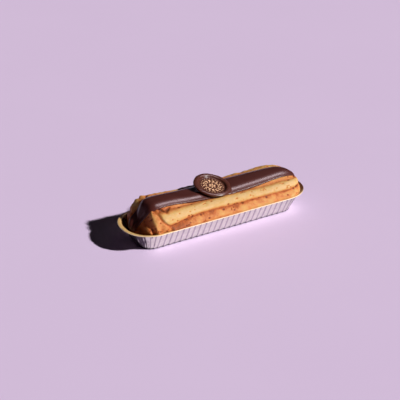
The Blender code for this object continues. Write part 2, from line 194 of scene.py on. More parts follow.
@dataclass
class TreeMaker:
    """Adds nodes to a shader or geometry tree and joins them."""

    tree: bpy.types.NodeTree

    def add(self, kind: str, **settings: Value) -> bpy.types.Node:
        """Adds a node.

        Args:
            kind: Blender's name for the node's type.
            **settings: Properties to set on it.

        Returns:
            The new node.
        """
        node = self.tree.nodes.new(kind)
        for name, value in settings.items():
            setattr(node, name, value)
        return node

    def join(self, source: Value, target: bpy.types.NodeSocket) -> None:
        """Links a socket, or sets a plain value, into a target socket.

        Args:
            source: An output socket or a value.
            target: The input socket.
        """
        if isinstance(source, bpy.types.NodeSocket):
            self.tree.links.new(source, target)
        else:
            target.default_value = source

    def math(self, operation: str, *values: Value, clamp: bool = False) -> bpy.types.NodeSocket:
        """Adds a Math node.

        Args:
            operation: Name of the operation.
            *values: Sockets or numbers that it takes.
            clamp: Whether the result is kept from 0 to 1.

        Returns:
            The result's socket.
        """
        kind = "ShaderNodeMath"
        node = self.add(kind, operation=operation, use_clamp=clamp)
        for index, value in enumerate(values):
            self.join(value, node.inputs[index])
        return node.outputs[0]

    def vector(self, operation: str, *values: Value) -> bpy.types.NodeSocket:
        """Adds a Vector Math node with a vector result.

        Args:
            operation: Name of the operation.
            *values: Sockets or vectors that it takes; a scale is the fourth input of SCALE.

        Returns:
            The result's socket.
        """
        node = self.add("ShaderNodeVectorMath", operation=operation)
        if operation == "SCALE":
            self.join(values[0], node.inputs[0])
            self.join(values[1], node.inputs["Scale"])
        else:
            for index, value in enumerate(values):
                self.join(value, node.inputs[index])
        return node.outputs[0]

    def ramp(self, value: Value, start: float, end: float, low: Value = 0.0, high: Value = 1.0) -> bpy.types.NodeSocket:
        """Adds a clamped, straight Map Range.

        Args:
            value: Socket to map.
            start: Value that gives low.
            end: Value that gives high.
            low: Result at start.
            high: Result at end.

        Returns:
            The result's socket.
        """
        node = self.add("ShaderNodeMapRange")
        for index, item in enumerate((value, start, end, low, high)):
            self.join(item, node.inputs[index])
        return node.outputs[0]

    def mix(self, share: Value, first: Value, second: Value) -> bpy.types.NodeSocket:
        """Adds a colour mix.

        Args:
            share: How much of the second colour, from 0 to 1.
            first: Colour or socket.
            second: Colour or socket.

        Returns:
            The mixed colour's socket.
        """
        node = self.add("ShaderNodeMix", data_type="RGBA")
        self.join(share, node.inputs[0])
        self.join(with_alpha(first), node.inputs[6])
        self.join(with_alpha(second), node.inputs[7])
        return node.outputs[2]

    def color_steps(self, value: Value, steps: tuple) -> bpy.types.NodeSocket:
        """Adds a colour ramp.

        Args:
            value: Socket that picks the colour.
            steps: Pairs of position and colour, in rising order.

        Returns:
            The colour's socket.
        """
        node = self.add("ShaderNodeValToRGB")
        elements = node.color_ramp.elements
        elements[0].position, elements[1].position = steps[0][0], steps[-1][0]
        elements[0].color, elements[1].color = with_alpha(steps[0][1]), with_alpha(steps[-1][1])
        for position, color in steps[1:-1]:
            elements.new(position).color = with_alpha(color)
        self.join(value, node.inputs[0])
        return node.outputs[0]


def with_alpha(color: Value) -> Value:
    """Adds full alpha to a plain colour and leaves a socket as it is."""
    return (*color, 1.0) if isinstance(color, tuple) and len(color) == 3 else color


def new_group(kind: str, name: str, inputs: dict, outputs: dict) -> tuple:
    """Starts a node group with named sockets.

    Args:
        kind: Type of the tree.
        name: Name of the group.
        inputs: Socket type and default value by name.
        outputs: Socket type by name.

    Returns:
        The maker for the tree, its input node and its output node.
    """
    tree = bpy.data.node_groups.new(name, kind)
    for label, (socket, value) in inputs.items():
        made = tree.interface.new_socket(label, in_out="INPUT", socket_type=socket)
        if value is not None:
            made.default_value = value
    for label, socket in outputs.items():
        tree.interface.new_socket(label, in_out="OUTPUT", socket_type=socket)
    maker = TreeMaker(tree)
    return maker, maker.add("NodeGroupInput"), maker.add("NodeGroupOutput")


def mottle_group() -> bpy.types.NodeTree:
    """Uneven cloudy mask: large patches with finer ones in them.

    Returns:
        The group, with inputs Vector, Size, Fineness and Contrast and the output Mask.
    """
    maker, given, made = new_group(
        "ShaderNodeTree",
        "mottle",
        {
            "Vector": ("NodeSocketVector", None),
            "Size": ("NodeSocketFloat", 100.0),
            "Fineness": ("NodeSocketFloat", 3.0),
            "Contrast": ("NodeSocketFloat", 2.0),
        },
        {"Mask": "NodeSocketFloat"},
    )
    patches = maker.add("ShaderNodeTexNoise")
    maker.join(given.outputs["Vector"], patches.inputs["Vector"])
    maker.join(given.outputs["Size"], patches.inputs["Scale"])
    maker.join(given.outputs["Fineness"], patches.inputs["Detail"])
    centred = maker.math("SUBTRACT", patches.outputs["Fac"], 0.5)
    spread = maker.math("MULTIPLY", centred, given.outputs["Contrast"])
    maker.join(maker.math("ADD", spread, 0.5, clamp=True), made.inputs["Mask"])
    return maker.tree


def relief_group() -> bpy.types.NodeTree:
    """Fine relief: a normal bent by two sizes of noise.

    Returns:
        The group, with inputs Vector, Size, Strength and Depth and the outputs Height and Normal.
    """
    maker, given, made = new_group(
        "ShaderNodeTree",
        "fine_relief",
        {
            "Vector": ("NodeSocketVector", None),
            "Size": ("NodeSocketFloat", 800.0),
            "Strength": ("NodeSocketFloat", 0.3),
            "Depth": ("NodeSocketFloat", 0.0002),
        },
        {"Height": "NodeSocketFloat", "Normal": "NodeSocketVector"},
    )
    coarse = maker.add("ShaderNodeTexNoise")
    fine = maker.add("ShaderNodeTexNoise")
    for texture, factor in ((coarse, 1.0), (fine, 3.7)):
        maker.join(given.outputs["Vector"], texture.inputs["Vector"])
        maker.join(maker.math("MULTIPLY", given.outputs["Size"], factor), texture.inputs["Scale"])
        texture.inputs["Detail"].default_value = 2.0
    height = maker.math("MULTIPLY_ADD", fine.outputs["Fac"], 0.35, coarse.outputs["Fac"])
    bent = maker.add("ShaderNodeBump")
    maker.join(given.outputs["Strength"], bent.inputs["Strength"])
    maker.join(given.outputs["Depth"], bent.inputs["Distance"])
    maker.join(height, bent.inputs["Height"])
    maker.join(height, made.inputs["Height"])
    maker.join(bent.outputs["Normal"], made.inputs["Normal"])
    return maker.tree


@dataclass
class EffectShelf:
    """The shared effects, built once."""

    mottle: bpy.types.NodeTree = field(default_factory=mottle_group)
    relief: bpy.types.NodeTree = field(default_factory=relief_group)


@dataclass
class MaterialMaker:
    """A new material with its Principled BSDF and its own coordinates."""

    name: str
    effects: EffectShelf
    material: bpy.types.Material = field(init=False)
    maker: TreeMaker = field(init=False)

    def __post_init__(self) -> None:
        """Makes the material and its tree."""
        self.material = bpy.data.materials.new(self.name)
        self.material.use_nodes = True
        self.maker = TreeMaker(self.material.node_tree)
        self.shader = self.material.node_tree.nodes["Principled BSDF"]
        self.place = self.maker.add("ShaderNodeTexCoord").outputs["Object"]

    def constants(self, **values: Value) -> None:
        """Sets plain values on the shader's own sockets.

        Args:
            **values: Value by the socket's name, with underscores for its spaces.
        """
        for name, value in values.items():
            self.shader.inputs[name.replace("_", " ")].default_value = value

    def feed(self, name: str, source: bpy.types.NodeSocket) -> None:
        """Links a socket into one of the shader's inputs.

        Args:
            name: The input's name.
            source: The output socket.
        """
        self.maker.join(source, self.shader.inputs[name])

    def effect(self, tree: bpy.types.NodeTree, **values: Value) -> bpy.types.Node:
        """Places a shared effect with its own values, read at the piece's own coordinates.

        Args:
            tree: The effect's group.
            **values: Value by input name.

        Returns:
            The group's node.
        """
        node = self.maker.add("ShaderNodeGroup", node_tree=tree)
        self.maker.join(values.pop("Vector", self.place), node.inputs["Vector"])
        for name, value in values.items():
            self.maker.join(value, node.inputs[name])
        return node

    def attribute(self, name: str) -> bpy.types.NodeSocket:
        """Reads a number kept on the mesh.

        Args:
            name: The attribute's name.

        Returns:
            The value's socket.
        """
        return self.maker.add("ShaderNodeAttribute", attribute_name=name).outputs["Fac"]


# ---------------------------------------------------------------------------------------------------------
# Finishes
# ---------------------------------------------------------------------------------------------------------


@dataclass(frozen=True)
class ChouxFinish:
    """Dry baked pastry, cream on the ridges and caramel brown in the creases, with painted shade at its foot and about
    the left end's folds.
    """

    cream: Color = (0.640, 0.410, 0.190)
    straw: Color = (0.600, 0.350, 0.108)
    tan: Color = (0.600, 0.232, 0.066)
    caramel: Color = (0.43, 0.104, 0.021)
    brown: Color = (0.15, 0.038, 0.010)

    def make(self, effects: EffectShelf) -> bpy.types.Material:
        """Builds the material.

        Args:
            effects: The shared effects.

        Returns:
            The pastry material.
        """
        work = MaterialMaker("baked_choux", effects)
        maker = work.maker
        # The attribute read here holds the crust's baked tone together with painted shade: along the foot, in the left
        # end's fold grooves, along the main ridge's step and in the curl.
        baked = work.attribute("browning_and_shade")
        patches = work.effect(effects.mottle, Size=260.0, Fineness=4.0, Contrast=1.4).outputs["Mask"]
        specks = work.effect(effects.mottle, Size=1500.0, Fineness=2.0, Contrast=2.2).outputs["Mask"]
        baked = maker.math("MULTIPLY_ADD", maker.math("SUBTRACT", patches, 0.5), 0.24, baked)
        baked = maker.math("MULTIPLY_ADD", maker.math("SUBTRACT", specks, 0.5), 0.18, baked)
        steps = ((0.0, self.cream), (0.25, self.straw), (0.5, self.tan), (0.75, self.caramel), (1.0, self.brown))
        work.feed("Base Color", maker.color_steps(baked, steps))
        work.feed("Roughness", maker.ramp(baked, 0.0, 1.0, 0.72, 0.5))
        relief = work.effect(effects.relief, Size=1100.0, Strength=0.35, Depth=0.00025)
        work.feed("Normal", relief.outputs["Normal"])
        work.constants(Specular_IOR_Level=0.18, Subsurface_Weight=0.06, Subsurface_Scale=0.0015)
        work.shader.inputs["Subsurface Radius"].default_value = (1.0, 0.5, 0.2)
        return work.material


@dataclass(frozen=True)
class IcingFinish:
    """Glossy dark chocolate icing with a faint bloom."""

    dark: Color = (0.066, 0.0145, 0.0108)
    bloom: Color = (0.086, 0.0200, 0.0155)

    def make(self, effects: EffectShelf) -> bpy.types.Material:
        """Builds the material.

        Args:
            effects: The shared effects.

        Returns:
            The icing material.
        """
        work = MaterialMaker("dark_icing", effects)
        maker = work.maker
        clouds = work.effect(effects.mottle, Size=120.0, Fineness=5.0, Contrast=2.0).outputs["Mask"]
        work.feed("Base Color", maker.mix(clouds, self.dark, self.bloom))
        work.feed("Roughness", maker.ramp(clouds, 0.0, 1.0, 0.27, 0.35))
        relief = work.effect(effects.relief, Size=420.0, Strength=0.10, Depth=0.0002)
        work.feed("Normal", relief.outputs["Normal"])
        work.constants(Specular_IOR_Level=0.5, Coat_Weight=0.15, Coat_Roughness=0.18)
        return work.material


@dataclass(frozen=True)
class SealFinish:
    """Satin chocolate of the seal, rubbed a little lighter on its rim."""

    deep: Color = (0.080, 0.0215, 0.0115)
    rubbed: Color = (0.084, 0.0200, 0.0125)

    def make(self, effects: EffectShelf) -> bpy.types.Material:
        """Builds the material.

        Args:
            effects: The shared effects.

        Returns:
            The seal's chocolate.
        """
        work = MaterialMaker("seal_chocolate", effects)
        maker = work.maker
        clouds = work.effect(effects.mottle, Size=330.0, Fineness=4.0, Contrast=1.6).outputs["Mask"]
        rim = work.attribute("rim")
        share = maker.math("MULTIPLY_ADD", clouds, 0.3, maker.math("MULTIPLY", rim, 0.7), clamp=True)
        work.feed("Base Color", maker.mix(share, self.deep, self.rubbed))
        work.feed("Roughness", maker.ramp(clouds, 0.0, 1.0, 0.24, 0.34))
        relief = work.effect(effects.relief, Size=900.0, Strength=0.14, Depth=0.00015)
        work.feed("Normal", relief.outputs["Normal"])
        work.constants(Specular_IOR_Level=0.42, Coat_Weight=0.12, Coat_Roughness=0.2)
        return work.material


@dataclass(frozen=True)
class GoldPrintFinish:
    """Edible gold dust of the seal's ornament."""

    gold: Color = (1.0, 0.63, 0.36)
    worn: Color = (0.74, 0.41, 0.22)

    def make(self, effects: EffectShelf) -> bpy.types.Material:
        """Builds the material.

        Args:
            effects: The shared effects.

        Returns:
            The gold dust.
        """
        work = MaterialMaker("gold_dust", effects)
        wear = work.effect(effects.mottle, Size=1400.0, Fineness=2.0, Contrast=2.6).outputs["Mask"]
        work.feed("Base Color", work.maker.mix(wear, self.worn, self.gold))
        work.feed("Roughness", work.maker.ramp(wear, 0.0, 1.0, 0.6, 0.42))
        work.constants(Metallic=0.3, Specular_IOR_Level=0.5)
        return work.material


class FoilSide(Enum):
    """The two faces of the tray's foil."""

    SILVER = "silver_foil"
    GOLD = "gold_lacquer"


@dataclass(frozen=True)
class FoilFinish:
    """Pressed foil with the faint drawn grain of rolled metal, with painted shade in its pleat folds, on the crumpled
    left end and along the foot, a painted dark reflection on the right end's flange and a painted highlight on its lip.
    """

    side: FoilSide
    bright: Color
    dull: Color
    # groove: painted shade of the pleat folds and painted dark reflection of the right end's flange; lip: painted
    # highlight; shade: painted shade of the crumpled left end and the foot.
    groove: Color
    lip: Color
    shade: Color
    roughness: tuple[float, float]
    metallic: float

    def make(self, effects: EffectShelf) -> bpy.types.Material:
        """Builds the material.

        Args:
            effects: The shared effects.

        Returns:
            The foil.
        """
        work = MaterialMaker(self.side.value, effects)
        maker = work.maker
        stretched = maker.add("ShaderNodeMapping")
        maker.join(work.place, stretched.inputs["Vector"])
        stretched.inputs["Scale"].default_value = (0.25, 1.0, 1.0)
        clouds = work.effect(effects.mottle, Vector=stretched.outputs[0], Size=520.0, Fineness=3.0, Contrast=1.8)
        plain = maker.mix(clouds.outputs["Mask"], self.dull, self.bright)
        # Painted light: the groove mask paints shade into the pleat folds and a dark reflection onto the right end's
        # flange, and the shade mask paints shade on the crumpled left end and along the foot.
        folded = maker.mix(work.attribute("groove"), plain, self.groove)
        folded = maker.mix(work.attribute("shade"), folded, self.shade)
        # Painted highlight: the lip mask gives the lip a pale colour and takes its metal away, standing in for the key
        # light's highlight along the lit lip.
        work.feed("Base Color", maker.mix(work.attribute("lip"), folded, self.lip))
        work.feed("Roughness", maker.ramp(clouds.outputs["Mask"], 0.0, 1.0, *self.roughness))
        relief = work.effect(effects.relief, Vector=stretched.outputs[0], Size=700.0, Strength=0.18, Depth=0.0001)
        work.feed("Normal", relief.outputs["Normal"])
        work.feed("Metallic", maker.ramp(work.attribute("lip"), 0.0, 1.0, self.metallic, 0.0))
        return work.material


@dataclass(frozen=True)
class FloorFinish:
    """Plain pale paper of the studio floor."""

    pale: Color = (0.76, 0.595, 0.81)
    shade: Color = (0.735, 0.57, 0.785)

    def make(self, effects: EffectShelf) -> bpy.types.Material:
        """Builds the material.

        Args:
            effects: The shared effects.

        Returns:
            The floor's paper.
        """
        work = MaterialMaker("pale_paper", effects)
        clouds = work.effect(effects.mottle, Size=6.0, Fineness=3.0, Contrast=1.0).outputs["Mask"]
        work.feed("Base Color", work.maker.mix(clouds, self.shade, self.pale))
        work.constants(Roughness=0.85, Specular_IOR_Level=0.25)
        return work.material


# ---------------------------------------------------------------------------------------------------------
# Foil tray
# ---------------------------------------------------------------------------------------------------------


@dataclass
class FoilTray:
    """Pleated tray, made by Geometry Nodes from an outline and a profile."""

    corner_radius: float = 21.05 * MM
    flange_sides: float = 1.5 * MM
    flange_ends: float = 2.4 * MM
    wall_flare: float = 8.5 * MM
    end_flare: float = 9.6 * MM
    lip_radius: float = 0.35 * MM
    floor_run: float = 9.6 * MM
    bend: float = 0.5 * MM
    pleat_depth: float = 0.32 * MM
    pleats: int = 76
    facets_each_pleat: int = 12
    rows: int = 40
    thickness: float = 0.12 * MM

    def node_tree(self, material: bpy.types.Material) -> bpy.types.NodeTree:
        """Builds the tray's tree.

        Args:
            material: Foil of the outer face.

        Returns:
            The geometry tree, with the tray's sizes as its inputs.
        """
        number, whole = "NodeSocketFloat", "NodeSocketInt"
        maker, given, made = new_group(
            "GeometryNodeTree",
            "pleated_tray",
            {
                "Length": (number, 0.15),
                "Width": (number, 0.047),
                "Height": (number, 0.016),
                "Corner Radius": (number, 0.022),
                "Side Flange": (number, 0.002),
                "End Flange": (number, 0.003),
                "Wall Flare": (number, 0.009),
                "End Flare": (number, 0.01),
                "Lip Radius": (number, 0.0007),
                "Floor Run": (number, 0.009),
                "Bend": (number, 0.0004),
                "Pleat Depth": (number, 0.0004),
                "Pleats": (whole, 76),
                "Facets Around": (whole, 912),
                "Rows": (whole, 40),
                "Dents": (number, 0.00015),
            },
            {"Geometry": "NodeSocketGeometry"},
        )
        size = given.outputs
        grid = maker.add("GeometryNodeMeshGrid")
        maker.join(1.0, grid.inputs["Size X"])
        maker.join(1.0, grid.inputs["Size Y"])
        maker.join(maker.math("ADD", size["Facets Around"], 1), grid.inputs["Vertices X"])
        maker.join(size["Rows"], grid.inputs["Vertices Y"])
        split = maker.add("ShaderNodeSeparateXYZ")
        maker.join(maker.add("GeometryNodeInputPosition").outputs[0], split.inputs[0])
        around = maker.math("ADD", split.outputs["X"], 0.5)
        down = maker.math("ADD", split.outputs["Y"], 0.5)

        frame_curve = maker.add("GeometryNodeCurvePrimitiveQuadrilateral")
        maker.join(size["Length"], frame_curve.inputs["Width"])
        maker.join(size["Width"], frame_curve.inputs["Height"])
        rounded = maker.add("GeometryNodeFilletCurve")
        self.set_menu(rounded, "POLY")
        maker.join(frame_curve.outputs[0], rounded.inputs["Curve"])
        maker.join(size["Corner Radius"], rounded.inputs["Radius"])
        maker.join(48, rounded.inputs["Count"])
        reader = maker.add("GeometryNodeSampleCurve", mode="FACTOR")
        maker.join(rounded.outputs[0], reader.inputs["Curves"])
        maker.join(around, reader.inputs["Factor"])
        level = maker.vector("MULTIPLY", reader.outputs["Tangent"], (1.0, 1.0, 0.0))
        sideways = maker.vector("NORMALIZE", maker.vector("CROSS_PRODUCT", level, (0.0, 0.0, 1.0)))
        facing = maker.add("ShaderNodeVectorMath", operation="DOT_PRODUCT")
        maker.join(sideways, facing.inputs[0])
        maker.join(reader.outputs["Position"], facing.inputs[1])
        outward = maker.vector("SCALE", sideways, maker.math("SIGN", facing.outputs["Value"]))

        heading = maker.add("ShaderNodeSeparateXYZ")
        maker.join(outward, heading.inputs[0])
        endwise = maker.math("MULTIPLY", heading.outputs["X"], heading.outputs["X"])
        wider = maker.math("SUBTRACT", size["End Flange"], size["Side Flange"])
        flange_width = maker.math("MULTIPLY_ADD", wider, endwise, size["Side Flange"])
        flatter = maker.math("SUBTRACT", size["End Flare"], size["Wall Flare"])
        flare = maker.math("MULTIPLY_ADD", flatter, endwise, size["Wall Flare"])

        curl = maker.ramp(down, 0.0, 0.14)
        flange = maker.ramp(down, 0.14, 0.28)
        shoulder = maker.ramp(down, 0.28, 0.31)
        wall = maker.ramp(down, 0.31, 0.88)
        foot = maker.ramp(down, 0.88, 0.91)
        floor = maker.ramp(down, 0.91, 1.0)
        turn = maker.math("MULTIPLY", curl, math.pi / 2)
        lip_in = maker.math("MULTIPLY", size["Lip Radius"], maker.math("SUBTRACT", 1.0, maker.math("COSINE", turn)))
        lip_up = maker.math("MULTIPLY", size["Lip Radius"], maker.math("SUBTRACT", maker.math("SINE", turn), 1.0))
        flat_width = maker.math("SUBTRACT", flange_width, size["Lip Radius"])
        two_bends = maker.math("MULTIPLY", size["Bend"], 2.0)
        inset = maker.math("MULTIPLY_ADD", flange, flat_width, lip_in)
        inset = maker.math("MULTIPLY_ADD", maker.math("ADD", shoulder, foot), size["Bend"], inset)
        inset = maker.math("MULTIPLY_ADD", wall, maker.math("SUBTRACT", flare, two_bends), inset)
        inset = maker.math("MULTIPLY_ADD", floor, size["Floor Run"], inset)
        fall = maker.math("MULTIPLY", maker.math("ADD", shoulder, foot), size["Bend"])
        fall = maker.math("MULTIPLY_ADD", wall, maker.math("SUBTRACT", size["Height"], two_bends), fall)
        height = maker.math("ADD", maker.math("SUBTRACT", size["Height"], fall), lip_up)

        turns = maker.math("MULTIPLY", around, size["Pleats"])
        each = maker.add("FunctionNodeRandomValue", data_type="FLOAT")
        self.set_random(maker, each, 0.7, 1.25, maker.math("FLOOR", maker.math("ADD", turns, 0.5)), 5)
        part = maker.math("SUBTRACT", 1.0, maker.math("FRACT", turns))
        swell = maker.ramp(part, 0.0, 0.76)
        sink = maker.ramp(part, 0.82, 0.96)
        wave = maker.math("MULTIPLY_ADD", maker.math("SUBTRACT", swell, sink), 2.0, -1.0)
        near_fold = maker.math("MULTIPLY", maker.ramp(part, 0.80, 0.86), maker.ramp(part, 0.94, 0.98, 1.0, 0.0))
        on_wall = maker.math("MULTIPLY", maker.ramp(down, 0.29, 0.36), maker.ramp(down, 0.90, 0.93, 1.0, 0.0))
        pleat = maker.math("MULTIPLY", maker.math("MULTIPLY", wave, on_wall), size["Pleat Depth"])
        pleat = maker.math("MULTIPLY", pleat, each.outputs["Value"])

        dents = maker.add("ShaderNodeTexNoise", noise_dimensions="3D")
        maker.join(0.7, dents.inputs["Roughness"])
        path = maker.vector("ADD", reader.outputs["Position"], maker.vector("SCALE", (0.0, 0.0, 1.0), height))
        maker.join(path, dents.inputs["Vector"])
        maker.join(120.0, dents.inputs["Scale"])
        maker.join(3.0, dents.inputs["Detail"])
        crumpled = maker.ramp(heading.outputs["X"], -0.25, -0.9, 1.0, 2.4)
        dent = maker.math("MULTIPLY", maker.math("SUBTRACT", dents.outputs["Fac"], 0.5), size["Dents"])
        dent = maker.math("MULTIPLY", dent, crumpled)
        not_floor = maker.ramp(down, 0.86, 0.9, 1.0, 0.0)
        dent = maker.math("MULTIPLY", dent, not_floor)

        out = maker.math("ADD", maker.math("SUBTRACT", pleat, inset), dent)
        place = maker.vector("MULTIPLY", reader.outputs["Position"], (1.0, 1.0, 0.0))
        place = maker.vector("ADD", place, maker.vector("SCALE", outward, out))
        up = maker.vector("SCALE", (0.0, 0.0, 1.0), maker.math("ADD", height, dent))
        place = maker.vector("ADD", place, up)
        moved = maker.add("GeometryNodeSetPosition")
        # Painted light kept as the groove attribute: the pleat folds are painted darker as shade, and the top of the
        # flange at the right end is painted dark as a reflection of dark surroundings.
        shaded = maker.math("MULTIPLY", maker.ramp(heading.outputs["X"], 0.2, 0.8), maker.ramp(down, 0.0, 0.05))
        folds = maker.math("MULTIPLY", near_fold, on_wall)
        shaded = maker.math("MULTIPLY", shaded, maker.ramp(down, 0.26, 0.32, 1.0, 0.0))
        marked = self.store(maker, grid.outputs["Mesh"], "groove", maker.math("MAXIMUM", folds, shaded))
        # Painted highlight: this mask marks the lip's curl, which takes a pale colour in place of the key light's
        # highlight; it fades out at the right end, where the flange is painted dark.
        lip = maker.math("MULTIPLY", maker.ramp(down, 0.08, 0.14, 1.0, 0.0), maker.ramp(heading.outputs["X"], 0.4, 0.9, 1.0, 0.0))
        marked = self.store(maker, marked, "lip", lip)
        marked = self.store(maker, marked, "shade", self.crumpled_shade(maker, path, heading.outputs["X"], down))
        maker.join(marked, moved.inputs["Geometry"])
        maker.join(place, moved.inputs["Position"])
        welded = maker.add("GeometryNodeMergeByDistance")
        maker.join(moved.outputs[0], welded.inputs["Geometry"])
        maker.join(0.002 * MM, welded.inputs["Distance"])
        smooth = maker.add("GeometryNodeSetShadeSmooth")
        maker.join(welded.outputs[0], smooth.inputs["Geometry"])
        finish_tree(maker, smooth.outputs[0], material, made)
        return maker.tree

    @staticmethod
    def crumpled_shade(maker: TreeMaker, path: Value, endwise: Value, down: Value) -> Value:
        """Painted shade: dark streaks on the crumpled left end's wall, which faces away from the key light and mirrors
        dark surroundings, and a painted contact shadow along the foot.

        Args:
            maker: The tree's maker.
            path: Socket of the place on the foil.
            endwise: Socket of the share of the way out that runs along the tray.
            down: Socket of the way down the foil, from the lip to the floor's middle.

        Returns:
            The socket of the shade, from 0 to 1.
        """
        # Painted shade and dark reflection, broken into streaks, on the crumpled wall, the more of it the further the
        # wall turns to the left end.
        streaks = maker.add("ShaderNodeTexNoise", noise_dimensions="3D")
        maker.join(maker.vector("MULTIPLY", path, (1.0, 1.0, 0.25)), streaks.inputs["Vector"])
        maker.join(420.0, streaks.inputs["Scale"])
        maker.join(3.0, streaks.inputs["Detail"])
        turned = maker.ramp(endwise, -0.02, -0.95)
        uneven = maker.math("MULTIPLY_ADD", maker.math("SUBTRACT", streaks.outputs["Fac"], 0.5), 2.4, turned)
        dark = maker.math("MULTIPLY", maker.ramp(uneven, 0.42, 0.78), maker.ramp(down, 0.29, 0.33))
        # Painted contact shadow along the foot.
        foot = maker.ramp(down, 0.84, 0.865)
        return maker.math("MAXIMUM", dark, foot)

    @staticmethod
    def store(maker: TreeMaker, geometry: Value, name: str, value: Value) -> Value:
        """Keeps a number for each vertex as an attribute.

        Args:
            maker: The tree's maker.
            geometry: Socket of the geometry.
            name: The attribute's name.
            value: Socket of the number.

        Returns:
            The geometry socket with the attribute.
        """
        kept = maker.add("GeometryNodeStoreNamedAttribute", data_type="FLOAT", domain="POINT")
        maker.join(geometry, kept.inputs["Geometry"])
        maker.join(name, kept.inputs["Name"])
        maker.join(value, kept.inputs["Value"])
        return kept.outputs[0]

    @staticmethod
    def set_menu(node: bpy.types.Node, choice: str) -> None:
        """Sets a node's mode, which is a property or a menu socket."""
        if hasattr(node, "mode"):
            node.mode = choice
        else:
            node.inputs["Mode"].default_value = choice.title()

    @staticmethod
    def set_random(maker: TreeMaker, node: bpy.types.Node, low: float, high: float, key: Value, seed: int) -> None:
        """Sets a Random Value node of plain numbers.

        Args:
            maker: The tree's maker.
            node: The node.
            low: Smallest value.
            high: Largest value.
            key: Socket that picks the value.
            seed: Fixed seed.
        """
        floats = [socket for socket in node.inputs if socket.type == "VALUE" and socket.enabled]
        maker.join(low, floats[0])
        maker.join(high, floats[1])
        maker.join(key, node.inputs["ID"])
        maker.join(seed, node.inputs["Seed"])

    def room(self, z: np.ndarray, rim: float, endwise: np.ndarray) -> np.ndarray:
        """How far out from the outline's core the food may reach at a height.

        Args:
            z: Heights, from 0 at the tray's floor.
            rim: Height of the rim.
            endwise: Share of the way out that runs along the tray.

        Returns:
            The distance just inside the wall, or to the slope of the food over the rim.
        """
        share = endwise * endwise
        flange = self.flange_sides + (self.flange_ends - self.flange_sides) * share
        flare = self.wall_flare + (self.end_flare - self.wall_flare) * share
        inset = flange + flare * (1.0 - np.minimum(1.0, z / rim))
        clearance = 0.75 * MM + 1.0 * MM * smooth_step(z, 0.55 * rim, 0.85 * rim)
        over_rim = 10.0 * np.maximum(0.0, z - rim - 0.05 * MM)
        return self.corner_radius - inset - clearance + over_rim

    def build(self, silver: bpy.types.Material, gold: bpy.types.Material) -> bpy.types.Object:
        """Makes the tray over its CAD node.

        Args:
            silver: Foil of the outer face.
            gold: Lacquer of the inner face and the rim.

        Returns:
            The tray, one piece.
        """
        low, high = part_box("foil_tray")
        sizes = {
            "Length": high.x - low.x - self.thickness,
            "Width": high.y - low.y - self.thickness,
            "Height": high.z - low.z - self.thickness,
            "Corner Radius": self.corner_radius,
            "Side Flange": self.flange_sides,
            "End Flange": self.flange_ends,
            "Wall Flare": self.wall_flare,
            "End Flare": self.end_flare,
            "Lip Radius": self.lip_radius,
            "Floor Run": self.floor_run,
            "Bend": self.bend,
            "Pleat Depth": self.pleat_depth,
            "Pleats": self.pleats,
            "Facets Around": self.pleats * self.facets_each_pleat,
            "Rows": self.rows,
            "Dents": 0.45 * MM,
        }
        tray = piece_from_tree("tray_foil", self.node_tree(silver), sizes)
        bm = bmesh.new()
        bm.from_mesh(tray.data)
        inner = [edge for edge in bm.edges if edge.is_boundary and edge.verts[0].co.z < self.lip_radius]
        bmesh.ops.holes_fill(bm, edges=inner, sides=0)
        bmesh.ops.recalc_face_normals(bm, faces=bm.faces)
        underside = min(bm.faces, key=lambda face: face.calc_center_median().z)
        if underside.normal.z > 0.0:
            bmesh.ops.reverse_faces(bm, faces=bm.faces)
        bm.to_mesh(tray.data)
        bm.free()
        tray.data.materials.clear()
        tray.data.materials.append(silver)
        tray.data.materials.append(gold)
        wall = tray.modifiers.new("Foil", "SOLIDIFY")
        wall.thickness = self.thickness
        wall.offset = -1.0
        wall.material_offset = 1
        wall.material_offset_rim = 1
        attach(tray, "root")
        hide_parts("foil_tray")
        return tray


def finish_tree(maker: TreeMaker, geometry: Value, material: bpy.types.Material, made: bpy.types.Node) -> None:
    """Ends a geometry tree with real geometry and its material.

    Args:
        maker: The tree's maker.
        geometry: Socket of what was built.
        material: Its material.
        made: The group's output node.
    """
    real = maker.add("GeometryNodeRealizeInstances")
    maker.join(geometry, real.inputs[0])
    dressed = maker.add("GeometryNodeSetMaterial")
    maker.join(real.outputs[0], dressed.inputs["Geometry"])
    maker.join(material, dressed.inputs["Material"])
    maker.join(dressed.outputs[0], made.inputs["Geometry"])


def piece_from_tree(name: str, tree: bpy.types.NodeTree, sizes: dict) -> bpy.types.Object:
    """Runs a geometry tree once and keeps its result as a plain mesh.

    Args:
        name: Name of the piece.
        tree: The geometry tree.
        sizes: Value by the tree's input name.

    Returns:
        The object, linked to the scene, with no modifier left on it.
    """
    host = bpy.data.objects.new(name, bpy.data.meshes.new(name))
    bpy.context.scene.collection.objects.link(host)
    nodes = host.modifiers.new("Shape", "NODES")
    nodes.node_group = tree
    for item in tree.interface.items_tree:
        if item.item_type == "SOCKET" and item.in_out == "INPUT" and item.name in sizes:
            nodes[item.identifier] = sizes[item.name]
    bpy.context.view_layer.update()
    evaluated = host.evaluated_get(bpy.context.evaluated_depsgraph_get())
    mesh = bpy.data.meshes.new_from_object(evaluated)
    host.modifiers.remove(nodes)
    host.data = mesh
    mesh.name = name
    return host


# ---------------------------------------------------------------------------------------------------------
# Choux
# ---------------------------------------------------------------------------------------------------------


class Crust(Enum):
    """How much of the choux's surface is made."""

    CORE = "core"
    BAKED = "baked"


